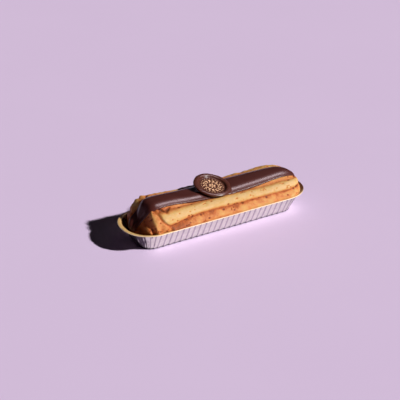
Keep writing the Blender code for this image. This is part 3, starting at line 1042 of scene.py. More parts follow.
@dataclass
class ChouxBody:
    """The piped and baked body: its section, ridges, creases, end folds and pits."""

    tray: FoilTray
    seal: "ChocolateSeal"
    half_width: float = 21.3 * MM
    crown: float = 28.8 * MM
    waist: float = 16.5 * MM
    nose: float = 20.5 * MM
    left_nose: float = 12.5 * MM
    end_length: float = 19.5 * MM
    left_slope: tuple = (
        (-67.3 * MM, 0.04), (-64.5 * MM, 0.08), (-62.0 * MM, 0.19), (-60.0 * MM, 0.37), (-58.0 * MM, 0.59),
        (-56.0 * MM, 0.82), (-54.4 * MM, 0.95), (-52.5 * MM, 0.99), (-49.0 * MM, 1.0),
    )
    left_power: float = 2.35
    right_power: float = 2.6
    section_power: float = 2.4
    rings: int = 420
    facets_over: int = 200
    facets_under: int = 24
    upper_crease: float = 45.5
    lower_crease: float = 16.6
    seed: int = 11

    def ring_place(self, share: np.ndarray) -> tuple[np.ndarray, np.ndarray]:
        """Where each ring is and how large.

        Args:
            share: 0 at the right end to 1 at the left end.

        Returns:
            The rings' x and their size against the full section.
        """
        low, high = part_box("choux")
        half = (high.x - low.x) / 2
        straight = half - self.end_length
        end_share = 0.24
        from_end = np.minimum(share, 1.0 - share)
        turn = math.pi / 2 * np.clip(from_end / end_share, 0.0, 1.0)
        power = np.where(share < 0.5, self.right_power, self.left_power)
        size = (1.0 - np.cos(turn) ** power) ** (1.0 / power)
        inner = straight * (0.5 - from_end) / (0.5 - end_share)
        x = np.where(from_end < end_share, straight + self.end_length * np.cos(turn), inner)
        return (low.x + high.x) / 2 + np.where(share > 0.5, -x, x), size

    def angles(self) -> np.ndarray:
        """The angles round the section, most of them over the top."""
        over = np.linspace(0.0, math.pi, self.facets_over, endpoint=False)
        under = np.linspace(math.pi, math.tau, self.facets_under, endpoint=False)
        return np.concatenate([over, under])

    def slope_share(self, x: np.ndarray, across: np.ndarray) -> np.ndarray:
        """Share of the full rise that is left where the left end slopes down, except at the back."""
        fade = smooth_step(across, 0.92, 0.6)
        later = x + 3.0 * MM * smooth_step(-across, 0.25, 0.8)
        return 1.0 - (1.0 - through_knots(self.left_slope, later)) * (0.45 + 0.55 * fade)

    @staticmethod
    def lumps(x: np.ndarray, across: np.ndarray, climb: np.ndarray) -> np.ndarray:
        """Swellings along the back, each with its place, climb, half sizes and height."""
        knobs = (
            (-60.5 * MM, 30.0, 2.2 * MM, 8.0, 2.6 * MM), (-56.3 * MM, 36.0, 2.0 * MM, 8.0, 1.8 * MM),
            (-52.4 * MM, 42.0, 2.4 * MM, 9.0, 1.6 * MM), (-46.5 * MM, 50.0, 3.0 * MM, 9.0, 1.0 * MM),
            (-50.0 * MM, 40.0, 11.0 * MM, 12.0, 1.0 * MM),
            (54.0 * MM, 47.0, 10.5 * MM, 14.0, 1.4 * MM), (29.0 * MM, 47.0, 13.0 * MM, 12.0, 0.5 * MM),
        )
        total = np.zeros(x.shape)
        for place, middle, length, height, size in knobs:
            total += size * bump(x - place, length) * bump(climb - middle, height)
        return total * smooth_step(across, 0.0, 0.15)

    @staticmethod
    def crease_drop(x: np.ndarray) -> np.ndarray:
        """How far the lower crease runs below its usual climb, in degrees."""
        return 11.0 * smooth_step(x, -22.0 * MM, -52.0 * MM) + 1.5 * smooth_step(x, -15.0 * MM, 15.0 * MM)

    def upper_line(self, x: np.ndarray) -> np.ndarray:
        """Climb of the upper crease, in degrees, lower towards the right end."""
        return self.upper_crease - 6.0 * smooth_step(x, -5.0 * MM, 40.0 * MM)

    def ridge_relief(self, x: np.ndarray, climb: np.ndarray) -> np.ndarray:
        """Height of the piped ridges and depth of the creases along a side."""
        drop = self.crease_drop(x)
        crease = self.lower_crease - drop
        upper_crease = self.upper_line(x)
        middle = (upper_crease + crease) / 2
        half_ridge = (upper_crease - crease) / 2
        relief = 0.8 * MM * bump((climb - middle) / half_ridge, 1.0)
        relief += 1.5 * MM * bump(climb - 2.0 + 0.6 * drop, 7.5)
        relief -= 1.0 * MM * bump(climb - upper_crease, 5.0)
        relief -= 1.1 * MM * bump(climb - crease, 5.0)
        relief -= 0.7 * MM * np.exp(-np.abs(climb - crease) / 1.5)
        return relief

    def lobe_edge(self, climb: np.ndarray) -> np.ndarray:
        """Where the main ridge starts at the left end, for each climb."""
        knots = ((-10.0, -46.0 * MM), (9.0, -47.3 * MM), (17.0, -50.4 * MM), (25.0, -52.0 * MM),
                 (33.0, -52.4 * MM), (42.0, -52.8 * MM), (62.0, -53.5 * MM))
        return through_knots(knots, climb)

    @staticmethod
    def from_crest(x: np.ndarray, climb: np.ndarray) -> np.ndarray:
        """Distance along the body from the crest of the first fold, which curves with the climb."""
        return x + 58.2 * MM - 2.0 * MM * ((climb - 28.0) / 31.0) ** 2

    def fold_relief(self, away: np.ndarray, across: np.ndarray) -> np.ndarray:
        """Height of the curled ribs across the left end."""
        knots = ((-14.0 * MM, -0.1 * MM), (-11.5 * MM, 0.0), (-9.8 * MM, 0.1 * MM), (-8.5 * MM, -0.3 * MM),
                 (-7.1 * MM, 0.1 * MM), (-4.9 * MM, 0.7 * MM), (-3.3 * MM, -0.9 * MM), (-1.6 * MM, 0.1 * MM),
                 (-0.3 * MM, 1.2 * MM), (0.9 * MM, 0.75 * MM), (3.2 * MM, -0.05 * MM), (5.6 * MM, 0.2 * MM),
                 (8.0 * MM, 0.0))
        return smooth_step(across, 5.0 * MM, 9.0 * MM) * through_knots(knots, away)

    @staticmethod
    def fold_browning_and_shade(away: np.ndarray) -> np.ndarray:
        """How dark the curled ribs are: partly their baked tone and partly painted shade, light on the first crest and
        dark in the grooves and beyond it, where the left end turns from the key light.
        """
        knots = ((-14.0 * MM, 0.84), (-10.5 * MM, 0.78), (-8.5 * MM, 0.88), (-7.1 * MM, 0.74), (-5.2 * MM, 0.60),
                 (-3.3 * MM, 0.80), (-1.2 * MM, 0.58), (0.2 * MM, 0.42), (1.6 * MM, 0.56), (4.5 * MM, 0.58),
                 (8.0 * MM, 0.56))
        return through_knots(knots, away)

    def skin(self, share: np.ndarray, angle: np.ndarray, crust: Crust) -> tuple[np.ndarray, np.ndarray]:
        """Points of the choux's skin.

        Args:
            share: Place of the rings along the body, as a column.
            angle: Angles round the section, as a row.
            crust: How much of the surface is made.

        Returns:
            The points, by ring and angle, and how brown each is.
        """
        x, size = self.ring_place(share)
        x = np.broadcast_to(x, (share.shape[0], angle.shape[1]))
        size = np.broadcast_to(size, x.shape)
        across = np.broadcast_to(np.cos(angle), x.shape)
        up = np.broadcast_to(np.sin(angle), x.shape)
        low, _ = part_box("choux")
        over = up > 0.0
        swell = 1.6 * MM * bump(x + 48.0 * MM, 20.0 * MM) + 0.5 * MM * bump(x - 54.0 * MM, 14.0 * MM)
        rise = (self.crown - self.waist + swell) * self.slope_share(x, across)
        rise = np.where(over, rise, self.waist - low.z)
        power = np.where(over, self.section_power, 2.0)
        reach = ((np.abs(across) / self.half_width) ** power + (np.abs(up) / rise) ** power) ** (-1.0 / power)
        climb = np.degrees(np.arctan2(up, np.abs(across)))
        relief = self.lumps(x, across, climb)
        brown = np.zeros(x.shape)
        if crust is Crust.BAKED:
            places = np.stack([x, across * reach * size, up * reach * size], axis=-1)
            baked, brown = self.baked_relief(places, climb)
            brown = np.clip(brown - 0.30 * smooth_step(relief, 0.4 * MM, 1.6 * MM), 0.0, 1.0)
            relief = (relief + baked) * smooth_step(climb, -14.0, -6.0)
        reach = reach + relief
        nose = np.where(share < 0.5, self.nose, self.left_nose)
        middle = nose + (self.waist - nose) * size
        z = np.maximum(middle + up * reach * size, low.z)
        x, y = self.inside_tray(x, across * reach * size, z)
        return np.stack([x, y, z], axis=-1), brown

    def baked_relief(self, places: np.ndarray, climb: np.ndarray) -> tuple[np.ndarray, np.ndarray]:
        """Ridges, folds, lumps and pits of the crust.

        Args:
            places: Points of the smooth skin, from the waist's height.
            climb: Angle of each above the widest line.

        Returns:
            How far the crust stands out at each point, and how brown it is.
        """
        x = places[..., 0]
        side = np.abs(places[..., 1])
        lie = climb + 1.3 * field_noise(places, 13.0 * MM, 3)
        warp = 0.9 * MM * field_noise(places, 8.0 * MM, 12)
        edge = self.lobe_edge(climb)
        folded = 1.0 - smooth_step(x - edge, -1.0 * MM, 0.9 * MM)
        away = self.from_crest(x + warp, climb)
        folds = self.fold_relief(away, side) * (1.0 + 0.3 * field_noise(places, 7.0 * MM, 13))
        step = bump(x - edge + 0.9 * MM, 1.1 * MM) * smooth_step(side, 6.0 * MM, 9.0 * MM)
        step = 0.7 * step * smooth_step(climb, -4.0, 6.0)
        curl = self.curl(x + 0.5 * warp, climb)
        relief = (1.0 - folded) * self.ridge_relief(x, lie) + folded * folds - 1.0 * MM * (step + curl)
        relief += 0.30 * MM * field_noise(places, 7.0 * MM, 1, (2.2, 1.0, 1.0))
        relief += 0.22 * MM * field_noise(places, 2.4 * MM, 2, (1.8, 1.0, 1.0))
        relief += 0.07 * MM * field_noise(places, 0.9 * MM, 4)
        behind = smooth_step(places[..., 1], 3.0 * MM, 9.0 * MM)
        relief += 0.55 * MM * behind * field_noise(places, 3.4 * MM, 23)
        pits, dark = self.pits(places, climb)
        brown = self.browning_and_shade(x, lie, places)
        # Painted shade: the fold ribs take their painted tone, and the step under the main ridge's start and the curl's
        # groove are painted darker.
        brown = brown * (1.0 - folded) + folded * self.fold_browning_and_shade(away) + 0.25 * step + 0.34 * curl
        brown += 0.14 * field_noise(places, 6.0 * MM, 7, (2.5, 1.0, 1.0))
        brown += 0.11 * field_noise(places, 1.8 * MM, 8)
        return relief - pits, np.clip(brown + dark, 0.0, 1.0)

    @staticmethod
    def curl(x: np.ndarray, climb: np.ndarray) -> np.ndarray:
        """The hooked groove where the main ridge's piping starts: two strokes that meet, 1 in their middle."""
        lane = 0.33 * MM
        strokes = (((-50.2 * MM, 53.0), (-47.4 * MM, 38.0)), ((-47.4 * MM, 38.0), (-42.5 * MM, 50.0)))
        groove = np.zeros(x.shape)
        for (start_x, start_climb), (end_x, end_climb) in strokes:
            run_x, run_up = end_x - start_x, lane * (end_climb - start_climb)
            off_x, off_up = x - start_x, lane * (climb - start_climb)
            share = np.clip((off_x * run_x + off_up * run_up) / (run_x**2 + run_up**2), 0.0, 1.0)
            away = np.hypot(off_x - share * run_x, off_up - share * run_up)
            groove = np.maximum(groove, bump(away, 0.9 * MM))
        return groove

    def browning_and_shade(self, x: np.ndarray, climb: np.ndarray, places: np.ndarray) -> np.ndarray:
        """How brown the piped ridges are baked, from 0 for cream to 1 for dark brown, with painted shade along the foot
        where the crust meets the tray's rim.
        """
        drop = self.crease_drop(x)
        crease = self.lower_crease - drop
        upper_crease = self.upper_line(x)
        middle = (upper_crease + crease) / 2
        from_middle = (climb - middle) / (upper_crease - crease) * 2.0
        ridge = 1.0 - smooth_step(np.abs(from_middle + 0.1), 0.30, 0.95)
        below = 0.45 - 0.10 * smooth_step(x, 5.0 * MM, 35.0 * MM) + 0.15 * smooth_step(x, -20.0 * MM, -45.0 * MM)
        below += 0.24 * field_noise(places, 3.2 * MM, 15, (1.5, 1.0, 1.0))
        upper = np.where(climb > middle, 0.40, below)
        streaks = np.maximum(0.0, field_noise(places, 2.0 * MM, 16, (3.0, 1.0, 1.0)))
        brown = 0.05 + upper * (1.0 - ridge) + 0.22 * streaks
        brown -= 0.05 * smooth_step(x, 15.0 * MM, 45.0 * MM)
        brown += 0.34 * np.exp(-np.abs(climb - crease) / 1.5) + 0.16 * bump(climb - crease, 5.0)
        brown += 0.16 * bump(climb - upper_crease, 5.0)
        # Painted shade: a darker band low on the sides, where the crust meets the tray's rim.
        brown += 0.16 * bump(climb + 8.0, 5.0)
        brown += 0.20 * smooth_step(x, 60.0 * MM, 71.0 * MM)
        brown += 0.14 * smooth_step(x, -28.0 * MM, -46.0 * MM)
        return np.minimum(brown, 0.80)

    def pits(self, places: np.ndarray, climb: np.ndarray) -> tuple[np.ndarray, np.ndarray]:
        """Small burst bubbles in the crust.

        Args:
            places: Points of the smooth skin.
            climb: Angle of each above the widest line.

        Returns:
            How deep the pits are and how much browner, at each point.
        """
        chance = np.random.default_rng(self.seed)
        depth = np.zeros(climb.shape)
        dark = np.zeros(climb.shape)
        rows = places[:, 0, 0]
        for number in range(620):
            if number % 3 == 0 or number > 380:
                row = chance.integers(6, places.shape[0] - 6)
                column = chance.integers(0, self.facets_over)
            row = int(np.clip(row + chance.integers(-5, 6), 6, places.shape[0] - 7))
            column = int(np.clip(column + chance.integers(-2, 3), 0, self.facets_over - 1))
            radius = MM * chance.uniform(0.26, 0.60)
            deep = chance.uniform(0.6, 1.1) * radius
            middle = places[row, column]
            near = np.nonzero(np.abs(rows - middle[0]) < 4.0 * radius)[0]
            part = slice(near[0], near[-1] + 1)
            away = (places[part] - middle) / np.array([1.5, 1.0, 1.0])
            spot = bump(np.linalg.norm(away, axis=-1), radius) ** 1.5
            depth[part] = np.maximum(depth[part], deep * spot)
            dark[part] = np.maximum(dark[part], 0.85 * spot)
        return depth, dark

    def inside_tray(self, x: np.ndarray, y: np.ndarray, z: np.ndarray) -> tuple[np.ndarray, np.ndarray]:
        """Draws points that would meet the tray's wall back to just inside it."""
        _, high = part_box("foil_tray")
        half_x = high.x - self.tray.corner_radius
        half_y = high.y - self.tray.corner_radius
        core_x = np.clip(x, -half_x, half_x)
        core_y = np.clip(y, -half_y, half_y)
        out = np.hypot(x - core_x, y - core_y)
        endwise = (x - core_x) / np.maximum(out, 1e-9)
        reach = self.tray.room(z, high.z, endwise)
        kept = np.minimum(1.0, reach / np.maximum(out, 1e-9))
        return core_x + (x - core_x) * kept, core_y + (y - core_y) * kept

    def core(self) -> BVHTree:
        """The body without its ridges and folds, for the icing to lie on."""
        piece = self.mesh("choux_core", 160, Crust.CORE)
        tree = BVHTree.FromObject(piece, bpy.context.evaluated_depsgraph_get())
        bpy.data.objects.remove(piece, do_unlink=True)
        return tree

    def mesh(self, name: str, rings: int, crust: Crust) -> bpy.types.Object:
        """Makes the body's mesh.

        Args:
            name: Name of the piece.
            rings: How many rings it has.
            crust: How much of the surface is made.

        Returns:
            The object.
        """
        share = np.linspace(0.0, 1.0, rings + 2)[:, None]
        points, brown = self.skin(share, self.angles()[None, :], crust)
        if crust is Crust.BAKED:
            points = self.seal.press(points, 1.2 * MM)
        start = Vector(points[0].mean(axis=0))
        end = Vector(points[-1].mean(axis=0))
        piece = mesh_from_rings(name, points[1:-1], start, end)
        values = np.concatenate([brown[1:-1].ravel(), [brown[0].mean(), brown[-1].mean()]])
        store_values(piece, "browning_and_shade", values)
        return piece

    def build(self, crust: bpy.types.Material) -> bpy.types.Object:
        """Makes the body over its CAD node.

        Args:
            crust: Its material.

        Returns:
            The body, one piece.
        """
        body = self.mesh("choux_body", self.rings, Crust.BAKED)
        body.data.materials.append(crust)
        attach(body, "root")
        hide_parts("choux")
        return body


# ---------------------------------------------------------------------------------------------------------
# Seal
# ---------------------------------------------------------------------------------------------------------


@dataclass
class ChocolateSeal:
    """Round chocolate seal with a raised rim, and its gold ornament."""

    radius: float = 14.3 * MM
    thickness: float = 2.8 * MM
    widest_drop: float = 1.0 * MM
    undercut: float = 2.6 * MM
    recess_radius: float = 9.9 * MM
    recess_depth: float = 1.6 * MM
    lean_forward: float = 12.4
    lean_right: float = 7.1
    facets: int = 192

    def placing(self) -> Matrix:
        """The seal's own frame: its origin in the middle of the rim's top, Z straight out of it."""
        low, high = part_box("seal")
        lean = Euler((math.radians(self.lean_forward), math.radians(self.lean_right), 0.0)).to_matrix().to_4x4()
        top = (low + high) / 2 + lean.to_3x3() @ Vector((0.0, 0.0, self.thickness / 2))
        return Matrix.Translation(top) @ lean

    def press(self, points: np.ndarray, depth: float = 0.0) -> np.ndarray:
        """Presses points of the pastry or the icing down under the seal.

        Args:
            points: Points of a surface below the seal.
            depth: How far under the seal they are pressed.

        Returns:
            The points, none of them inside the seal.
        """
        placing = np.array(self.placing())
        own = (points - placing[:3, 3]) @ placing[:3, :3]
        out = np.hypot(own[..., 0], own[..., 1])
        well = smooth_step(out, self.radius - 3.0 * MM, self.radius + 2.0 * MM)
        ceiling = -self.thickness + 0.15 * MM - depth + 6.0 * MM * well
        own[..., 2] = np.where(well < 1.0, np.minimum(own[..., 2], ceiling), own[..., 2])
        return own @ placing[:3, :3].T + placing[:3, 3]

    def profile(self) -> np.ndarray:
        """Radius, height and share of rim along the seal's section, from the recess's middle to underneath."""
        floor = -self.recess_depth
        crest = (self.recess_radius + self.radius) / 2 - 0.1 * MM
        points = []
        for share in np.linspace(0.04, 1.0, 16):
            points.append((share * (self.recess_radius - 0.45 * MM), floor, 0.0))
        for turn in np.linspace(0.1, 1.0, 8):
            angle = math.pi / 2 * turn
            out = 0.75 * MM * math.sin(angle)
            up = 0.45 * MM * (1.0 - math.cos(angle))
            points.append((self.recess_radius - 0.45 * MM + out, floor + up, 0.25 * turn))
        inner = self.recess_radius + 0.3 * MM
        for turn in np.linspace(0.08, 1.0, 12):
            angle = math.pi / 2 * turn
            out = (crest - inner) * (1.0 - math.cos(angle))
            up = (-floor - 0.45 * MM) * math.sin(angle)
            points.append((inner + out, floor + 0.45 * MM + up, 0.25 + 0.75 * turn))
        for turn in np.linspace(0.06, 1.0, 18):
            angle = math.pi / 2 * turn
            out = (self.radius - crest) * math.sin(angle)
            down = self.widest_drop * (1.0 - math.cos(angle))
            points.append((crest + out, -down, 1.0 - 0.3 * turn))
        for turn in np.linspace(0.1, 1.0, 10):
            angle = math.pi / 2 * turn
            inward = self.undercut * (1.0 - math.cos(angle))
            down = (self.thickness - self.widest_drop) * math.sin(angle)
            points.append((self.radius - inward, -self.widest_drop - down, 0.4))
        for share in np.linspace(0.9, 0.1, 6):
            points.append((share * (self.radius - self.undercut), -self.thickness, 0.0))
        return np.array(points)

    def build(self, chocolate: bpy.types.Material) -> bpy.types.Object:
        """Makes the seal over its CAD node.

        Args:
            chocolate: Its material.

        Returns:
            The seal, one piece.
        """
        profile = self.profile()
        angle = np.linspace(0.0, math.tau, self.facets, endpoint=False)[None, :]
        radius = profile[:, 0:1]
        height = profile[:, 1:2]
        outer = smooth_step(radius, self.recess_radius, self.radius)
        uneven = 0.018 * np.cos(2.0 * angle + 0.6) + 0.010 * np.cos(3.0 * angle + 2.1)
        uneven += 0.007 * np.cos(5.0 * angle + 4.0) + 0.004 * np.cos(9.0 * angle)
        radius = radius * (1.0 + outer * (uneven - 0.012) + 0.35 * (1.0 - outer) * 0.4 * uneven)
        ripple = 0.12 * MM * np.cos(2.0 * angle + 2.0) + 0.07 * MM * np.cos(4.0 * angle + 0.4)
        height = height + ripple * profile[:, 2:3] - 0.1 * MM * profile[:, 2:3]
        rings = np.stack([radius * np.cos(angle), radius * np.sin(angle), np.broadcast_to(height, radius.shape)], -1)
        start = Vector((0.0, 0.0, -self.recess_depth))
        end = Vector((0.0, 0.0, -self.thickness))
        seal = mesh_from_rings("seal_disc", rings, start, end)
        rim = np.concatenate([np.repeat(profile[:, 2], self.facets), [0.0, 0.0]])
        store_values(seal, "rim", rim)
        seal.data.transform(self.placing())
        seal.data.materials.append(chocolate)
        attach(seal, "root")
        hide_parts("seal")
        return seal


@dataclass
class GoldOrnament:
    """Gold wreath and rosette in the seal's recess, made by Geometry Nodes."""

    ring_radius: float = 8.2 * MM
    beads: int = 24
    bead_radius: float = 0.34 * MM
    wreath_radius: float = 5.6 * MM
    leaves: int = 13
    leaf_length: float = 1.25 * MM
    leaf_width: float = 0.42 * MM
    petals: int = 6
    petal_radius: float = 1.9 * MM
    relief: float = 0.14 * MM

    def ring_of(self, maker: TreeMaker, count: Value, radius: Value, shape: Value, tilt: float) -> Value:
        """Instances of a shape round a circle, each turned with its place.

        Args:
            maker: The tree's maker.
            count: How many.
            radius: The circle's radius.
            shape: Geometry socket of the shape.
            tilt: Turn of each against the outward way, in radians.

        Returns:
            The geometry socket of the instances.
        """
        circle = maker.add("GeometryNodeMeshCircle")
        maker.join(count, circle.inputs["Vertices"])
        maker.join(radius, circle.inputs["Radius"])
        index = maker.add("GeometryNodeInputIndex").outputs[0]
        turn = maker.math("MULTIPLY", maker.math("DIVIDE", index, count), math.tau)
        rotation = maker.add("ShaderNodeCombineXYZ")
        maker.join(maker.math("ADD", turn, tilt), rotation.inputs["Z"])
        placed = maker.add("GeometryNodeInstanceOnPoints")
        maker.join(circle.outputs["Mesh"], placed.inputs["Points"])
        maker.join(shape, placed.inputs["Instance"])
        maker.join(rotation.outputs[0], placed.inputs["Rotation"])
        return placed.outputs[0]

    def oval(self, maker: TreeMaker, length: Value, width: Value, height: Value) -> Value:
        """A flattened ball, half of it above the recess.

        Args:
            maker: The tree's maker.
            length: Half length.
            width: Half width.
            height: Half height.

        Returns:
            The geometry socket of the ball.
        """
        ball = maker.add("GeometryNodeMeshUVSphere")
        maker.join(12, ball.inputs["Segments"])
        maker.join(6, ball.inputs["Rings"])
        maker.join(1.0, ball.inputs["Radius"])
        scale = maker.add("ShaderNodeCombineXYZ")
        for axis, value in zip("XYZ", (length, width, height)):
            maker.join(value, scale.inputs[axis])
        shaped = maker.add("GeometryNodeTransform")
        maker.join(ball.outputs["Mesh"], shaped.inputs["Geometry"])
        maker.join(scale.outputs[0], shaped.inputs["Scale"])
        return shaped.outputs[0]

    def node_tree(self, material: bpy.types.Material) -> bpy.types.NodeTree:
        """Builds the ornament's tree.

        Args:
            material: The gold dust.

        Returns:
            The geometry tree, with the ornament's sizes as its inputs.
        """
        number, whole = "NodeSocketFloat", "NodeSocketInt"
        maker, given, made = new_group(
            "GeometryNodeTree",
            "gold_ornament",
            {
                "Ring Radius": (number, 0.008),
                "Beads": (whole, 40),
                "Bead Radius": (number, 0.0002),
                "Wreath Radius": (number, 0.006),
                "Leaves": (whole, 26),
                "Leaf Length": (number, 0.001),
                "Leaf Width": (number, 0.0004),
                "Petals": (whole, 8),
                "Petal Radius": (number, 0.0018),
                "Relief": (number, 0.0001),
            },
            {"Geometry": "NodeSocketGeometry"},
        )
        size = given.outputs
        bead = self.oval(maker, size["Bead Radius"], size["Bead Radius"], size["Relief"])
        leaf = self.oval(maker, size["Leaf Length"], size["Leaf Width"], size["Relief"])
        petal_width = maker.math("MULTIPLY", size["Petal Radius"], 0.3)
        petal_length = maker.math("MULTIPLY", size["Petal Radius"], 0.55)
        petal = self.oval(maker, petal_length, petal_width, size["Relief"])
        button = self.oval(maker, petal_width, petal_width, size["Relief"])
        outer = maker.math("MULTIPLY_ADD", size["Leaf Width"], 1.9, size["Wreath Radius"])
        inner = maker.math("MULTIPLY_ADD", size["Leaf Width"], -1.9, size["Wreath Radius"])
        joined = maker.add("GeometryNodeJoinGeometry")
        parts = (
            self.ring_of(maker, size["Beads"], size["Ring Radius"], bead, 0.0),
            self.ring_of(maker, size["Leaves"], outer, leaf, math.pi / 2 - 0.62),
            self.ring_of(maker, size["Leaves"], inner, leaf, math.pi / 2 + 0.62),
            self.ring_of(maker, size["Petals"], size["Petal Radius"], petal, 0.0),
            button,
        )
        for part in parts:
            maker.join(part, joined.inputs[0])
        smooth = maker.add("GeometryNodeSetShadeSmooth")
        maker.join(joined.outputs[0], smooth.inputs["Geometry"])
        finish_tree(maker, smooth.outputs[0], material, made)
        return maker.tree

    def build(self, gold: bpy.types.Material, seal: ChocolateSeal) -> bpy.types.Object:
        """Makes the ornament in the seal's recess.

        Args:
            gold: Its material.
            seal: The seal that it lies on.

        Returns:
            The ornament, one piece.
        """
        sizes = {
            "Ring Radius": self.ring_radius,
            "Beads": self.beads,
            "Bead Radius": self.bead_radius,
            "Wreath Radius": self.wreath_radius,
            "Leaves": self.leaves,
            "Leaf Length": self.leaf_length,
            "Leaf Width": self.leaf_width,
            "Petals": self.petals,
            "Petal Radius": self.petal_radius,
            "Relief": self.relief,
        }
        ornament = piece_from_tree("seal_ornament", self.node_tree(gold), sizes)
        floor = Matrix.Translation((0.0, 0.0, -seal.recess_depth))
        ornament.data.transform(seal.placing() @ floor)
        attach(ornament, "root")
        return ornament


# ---------------------------------------------------------------------------------------------------------
# Icing
# ---------------------------------------------------------------------------------------------------------


@dataclass
class IcingStrip:
    """Strip of icing over the crown, with a rounded edge, a tip at the right and a fall over the left end."""

    thickness: float = 2.3 * MM
    shoulder: float = 6.0 * MM
    wall_share: float = 0.34
    wall_bend: float = 0.05
    roundness: float = 2.6
    sink: float = 1.6 * MM
    end_run: float = 0.02
    tip: float = 67.2 * MM
    bend_share: float = 0.74
    bend_turn: float = 102.0
    waist: float = 16.5 * MM
    stations: int = 260
    edge_lanes: int = 22
    middle_lanes: int = 24
    front: tuple = (
        (0.0, -8.0 * MM), (0.02, -9.0 * MM), (0.05, -9.7 * MM), (0.14, -10.6 * MM), (0.24, -11.6 * MM),
        (0.32, -12.3 * MM), (0.43, -12.3 * MM), (0.54, -10.9 * MM), (0.63, -9.9 * MM), (0.71, -9.3 * MM),
        (0.76, -9.6 * MM), (0.80, -9.4 * MM), (0.84, -8.2 * MM), (0.90, -6.0 * MM), (0.95, -4.6 * MM),
        (1.0, -3.6 * MM),
    )
    back: tuple = (
        (0.0, -6.8 * MM), (0.008, -4.0 * MM), (0.022, -0.8 * MM), (0.033, 2.8 * MM), (0.05, 4.8 * MM),
        (0.1, 6.6 * MM), (0.15, 7.6 * MM), (0.25, 8.6 * MM), (0.4, 9.2 * MM), (0.7, 9.0 * MM),
        (0.78, 8.6 * MM), (0.86, 8.2 * MM), (0.94, 7.0 * MM), (1.0, 5.4 * MM),
    )

    def lanes(self, half: float) -> tuple[np.ndarray, np.ndarray]:
        """Places and heights across the strip's top at one station.

        Args:
            half: Half of the strip's width there.

        Returns:
            Distance of each lane from the strip's middle, and its share of the thickness.
        """
        round_off = min(self.shoulder, 0.95 * half)
        wall_lanes = self.edge_lanes // 3
        turn = np.linspace(0.0, math.pi / 2, wall_lanes, endpoint=False)
        bend = self.wall_bend * round_off
        inward = np.linspace(0.0, 1.0, self.edge_lanes - wall_lanes)
        shoulder = self.wall_share + (1.0 - self.wall_share) * (1.0 - (1.0 - inward) ** 2)
        out = np.concatenate([half - bend * (1.0 - np.cos(turn)), half - bend - (round_off - bend) * inward])
        rise = np.concatenate([self.wall_share * np.sin(turn), shoulder])
        inner = np.linspace(-(half - round_off), half - round_off, self.middle_lanes + 2)[1:-1]
        place = np.concatenate([-out, inner, out[::-1]])
        height = np.concatenate([rise, np.ones(self.middle_lanes), rise[::-1]])
        return place, height * min(1.0, (round_off / self.shoulder) ** 0.5)

    def spine(self, place: float, bend_x: float) -> tuple[Vector, Vector]:
        """Where a station starts and which way it faces.

        Args:
            place: Share of the way from the tip to the left end.
            bend_x: Where the strip starts to fall over the left end.

        Returns:
            The station's start inside the body, and the way out from it.
        """
        if place < self.bend_share:
            x = self.tip + (bend_x - self.tip) * place / self.bend_share
            return Vector((x, 0.0, self.waist)), Vector((0.0, 0.0, 1.0))
        turn = math.radians(self.bend_turn) * (place - self.bend_share) / (1.0 - self.bend_share)
        return Vector((bend_x, 0.0, self.waist)), Vector((-math.sin(turn), 0.0, math.cos(turn)))

    def build(self, choux: ChouxBody, seal: ChocolateSeal, chocolate: bpy.types.Material) -> bpy.types.Object:
        """Makes the strip over its CAD node.

        Args:
            choux: The body it lies on.
            seal: The seal pressed into it.
            chocolate: Its material.

        Returns:
            The strip, one piece.
        """
        core = choux.core()
        low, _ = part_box("choux")
        share = np.linspace(0.0, 1.0, self.stations)
        front = through_knots(self.front, share)
        back = through_knots(self.back, share)
        lanes = 2 * self.edge_lanes + self.middle_lanes
        skin = np.zeros((self.stations, lanes, 3))
        out = np.zeros((self.stations, lanes, 3))
        height = np.zeros((self.stations, lanes))
        for row, place in enumerate(share):
            start, facing = self.spine(place, low.x + choux.end_length)
            offsets, rises = self.lanes((back[row] - front[row]) / 2)
            from_end = 1.0 - min(1.0, min(place, 1.0 - place) / self.end_run)
            height[row] = rises * (1.0 - from_end**self.roundness) ** (1.0 / self.roundness)
            for lane, offset in enumerate(offsets + (front[row] + back[row]) / 2):
                origin = start + Vector((0.0, offset, 0.0)) + facing * (60.0 * MM)
                hit, normal, _, _ = core.ray_cast(origin, -facing)
                skin[row, lane] = hit
                out[row, lane] = normal
        out = self.evened(out, 12)
        out /= np.linalg.norm(out, axis=-1, keepdims=True)
        thickness = self.thickness * (1.0 + 0.07 * field_noise(skin, 12.0 * MM, 21))
        tops = skin + out * (thickness * height)[..., None]
        tops = seal.press(tops)
        bottoms = tops - out * (thickness * height + self.sink)[..., None]
        rings = np.concatenate([tops, bottoms[:, ::-1]], axis=1)
        icing = mesh_from_rings("icing_strip", rings, Vector(rings[0].mean(axis=0)), Vector(rings[-1].mean(axis=0)))
        icing.data.materials.append(chocolate)
        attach(icing, "root")
        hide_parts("icing")
        return icing

    @staticmethod
    def evened(values: np.ndarray, rounds: int) -> np.ndarray:
        """Averages each value with its neighbours along and across the strip.

        Args:
            values: Values by station and lane.
            rounds: How many times.

        Returns:
            The evened values.
        """
        for _ in range(rounds):
            padded = np.pad(values, ((1, 1), (1, 1), (0, 0)), mode="edge")
            along = padded[:-2, 1:-1] + padded[2:, 1:-1]
            across = padded[1:-1, :-2] + padded[1:-1, 2:]
            values = 0.4 * values + 0.15 * (along + across)
        return values


# ---------------------------------------------------------------------------------------------------------
# Studio
# ---------------------------------------------------------------------------------------------------------


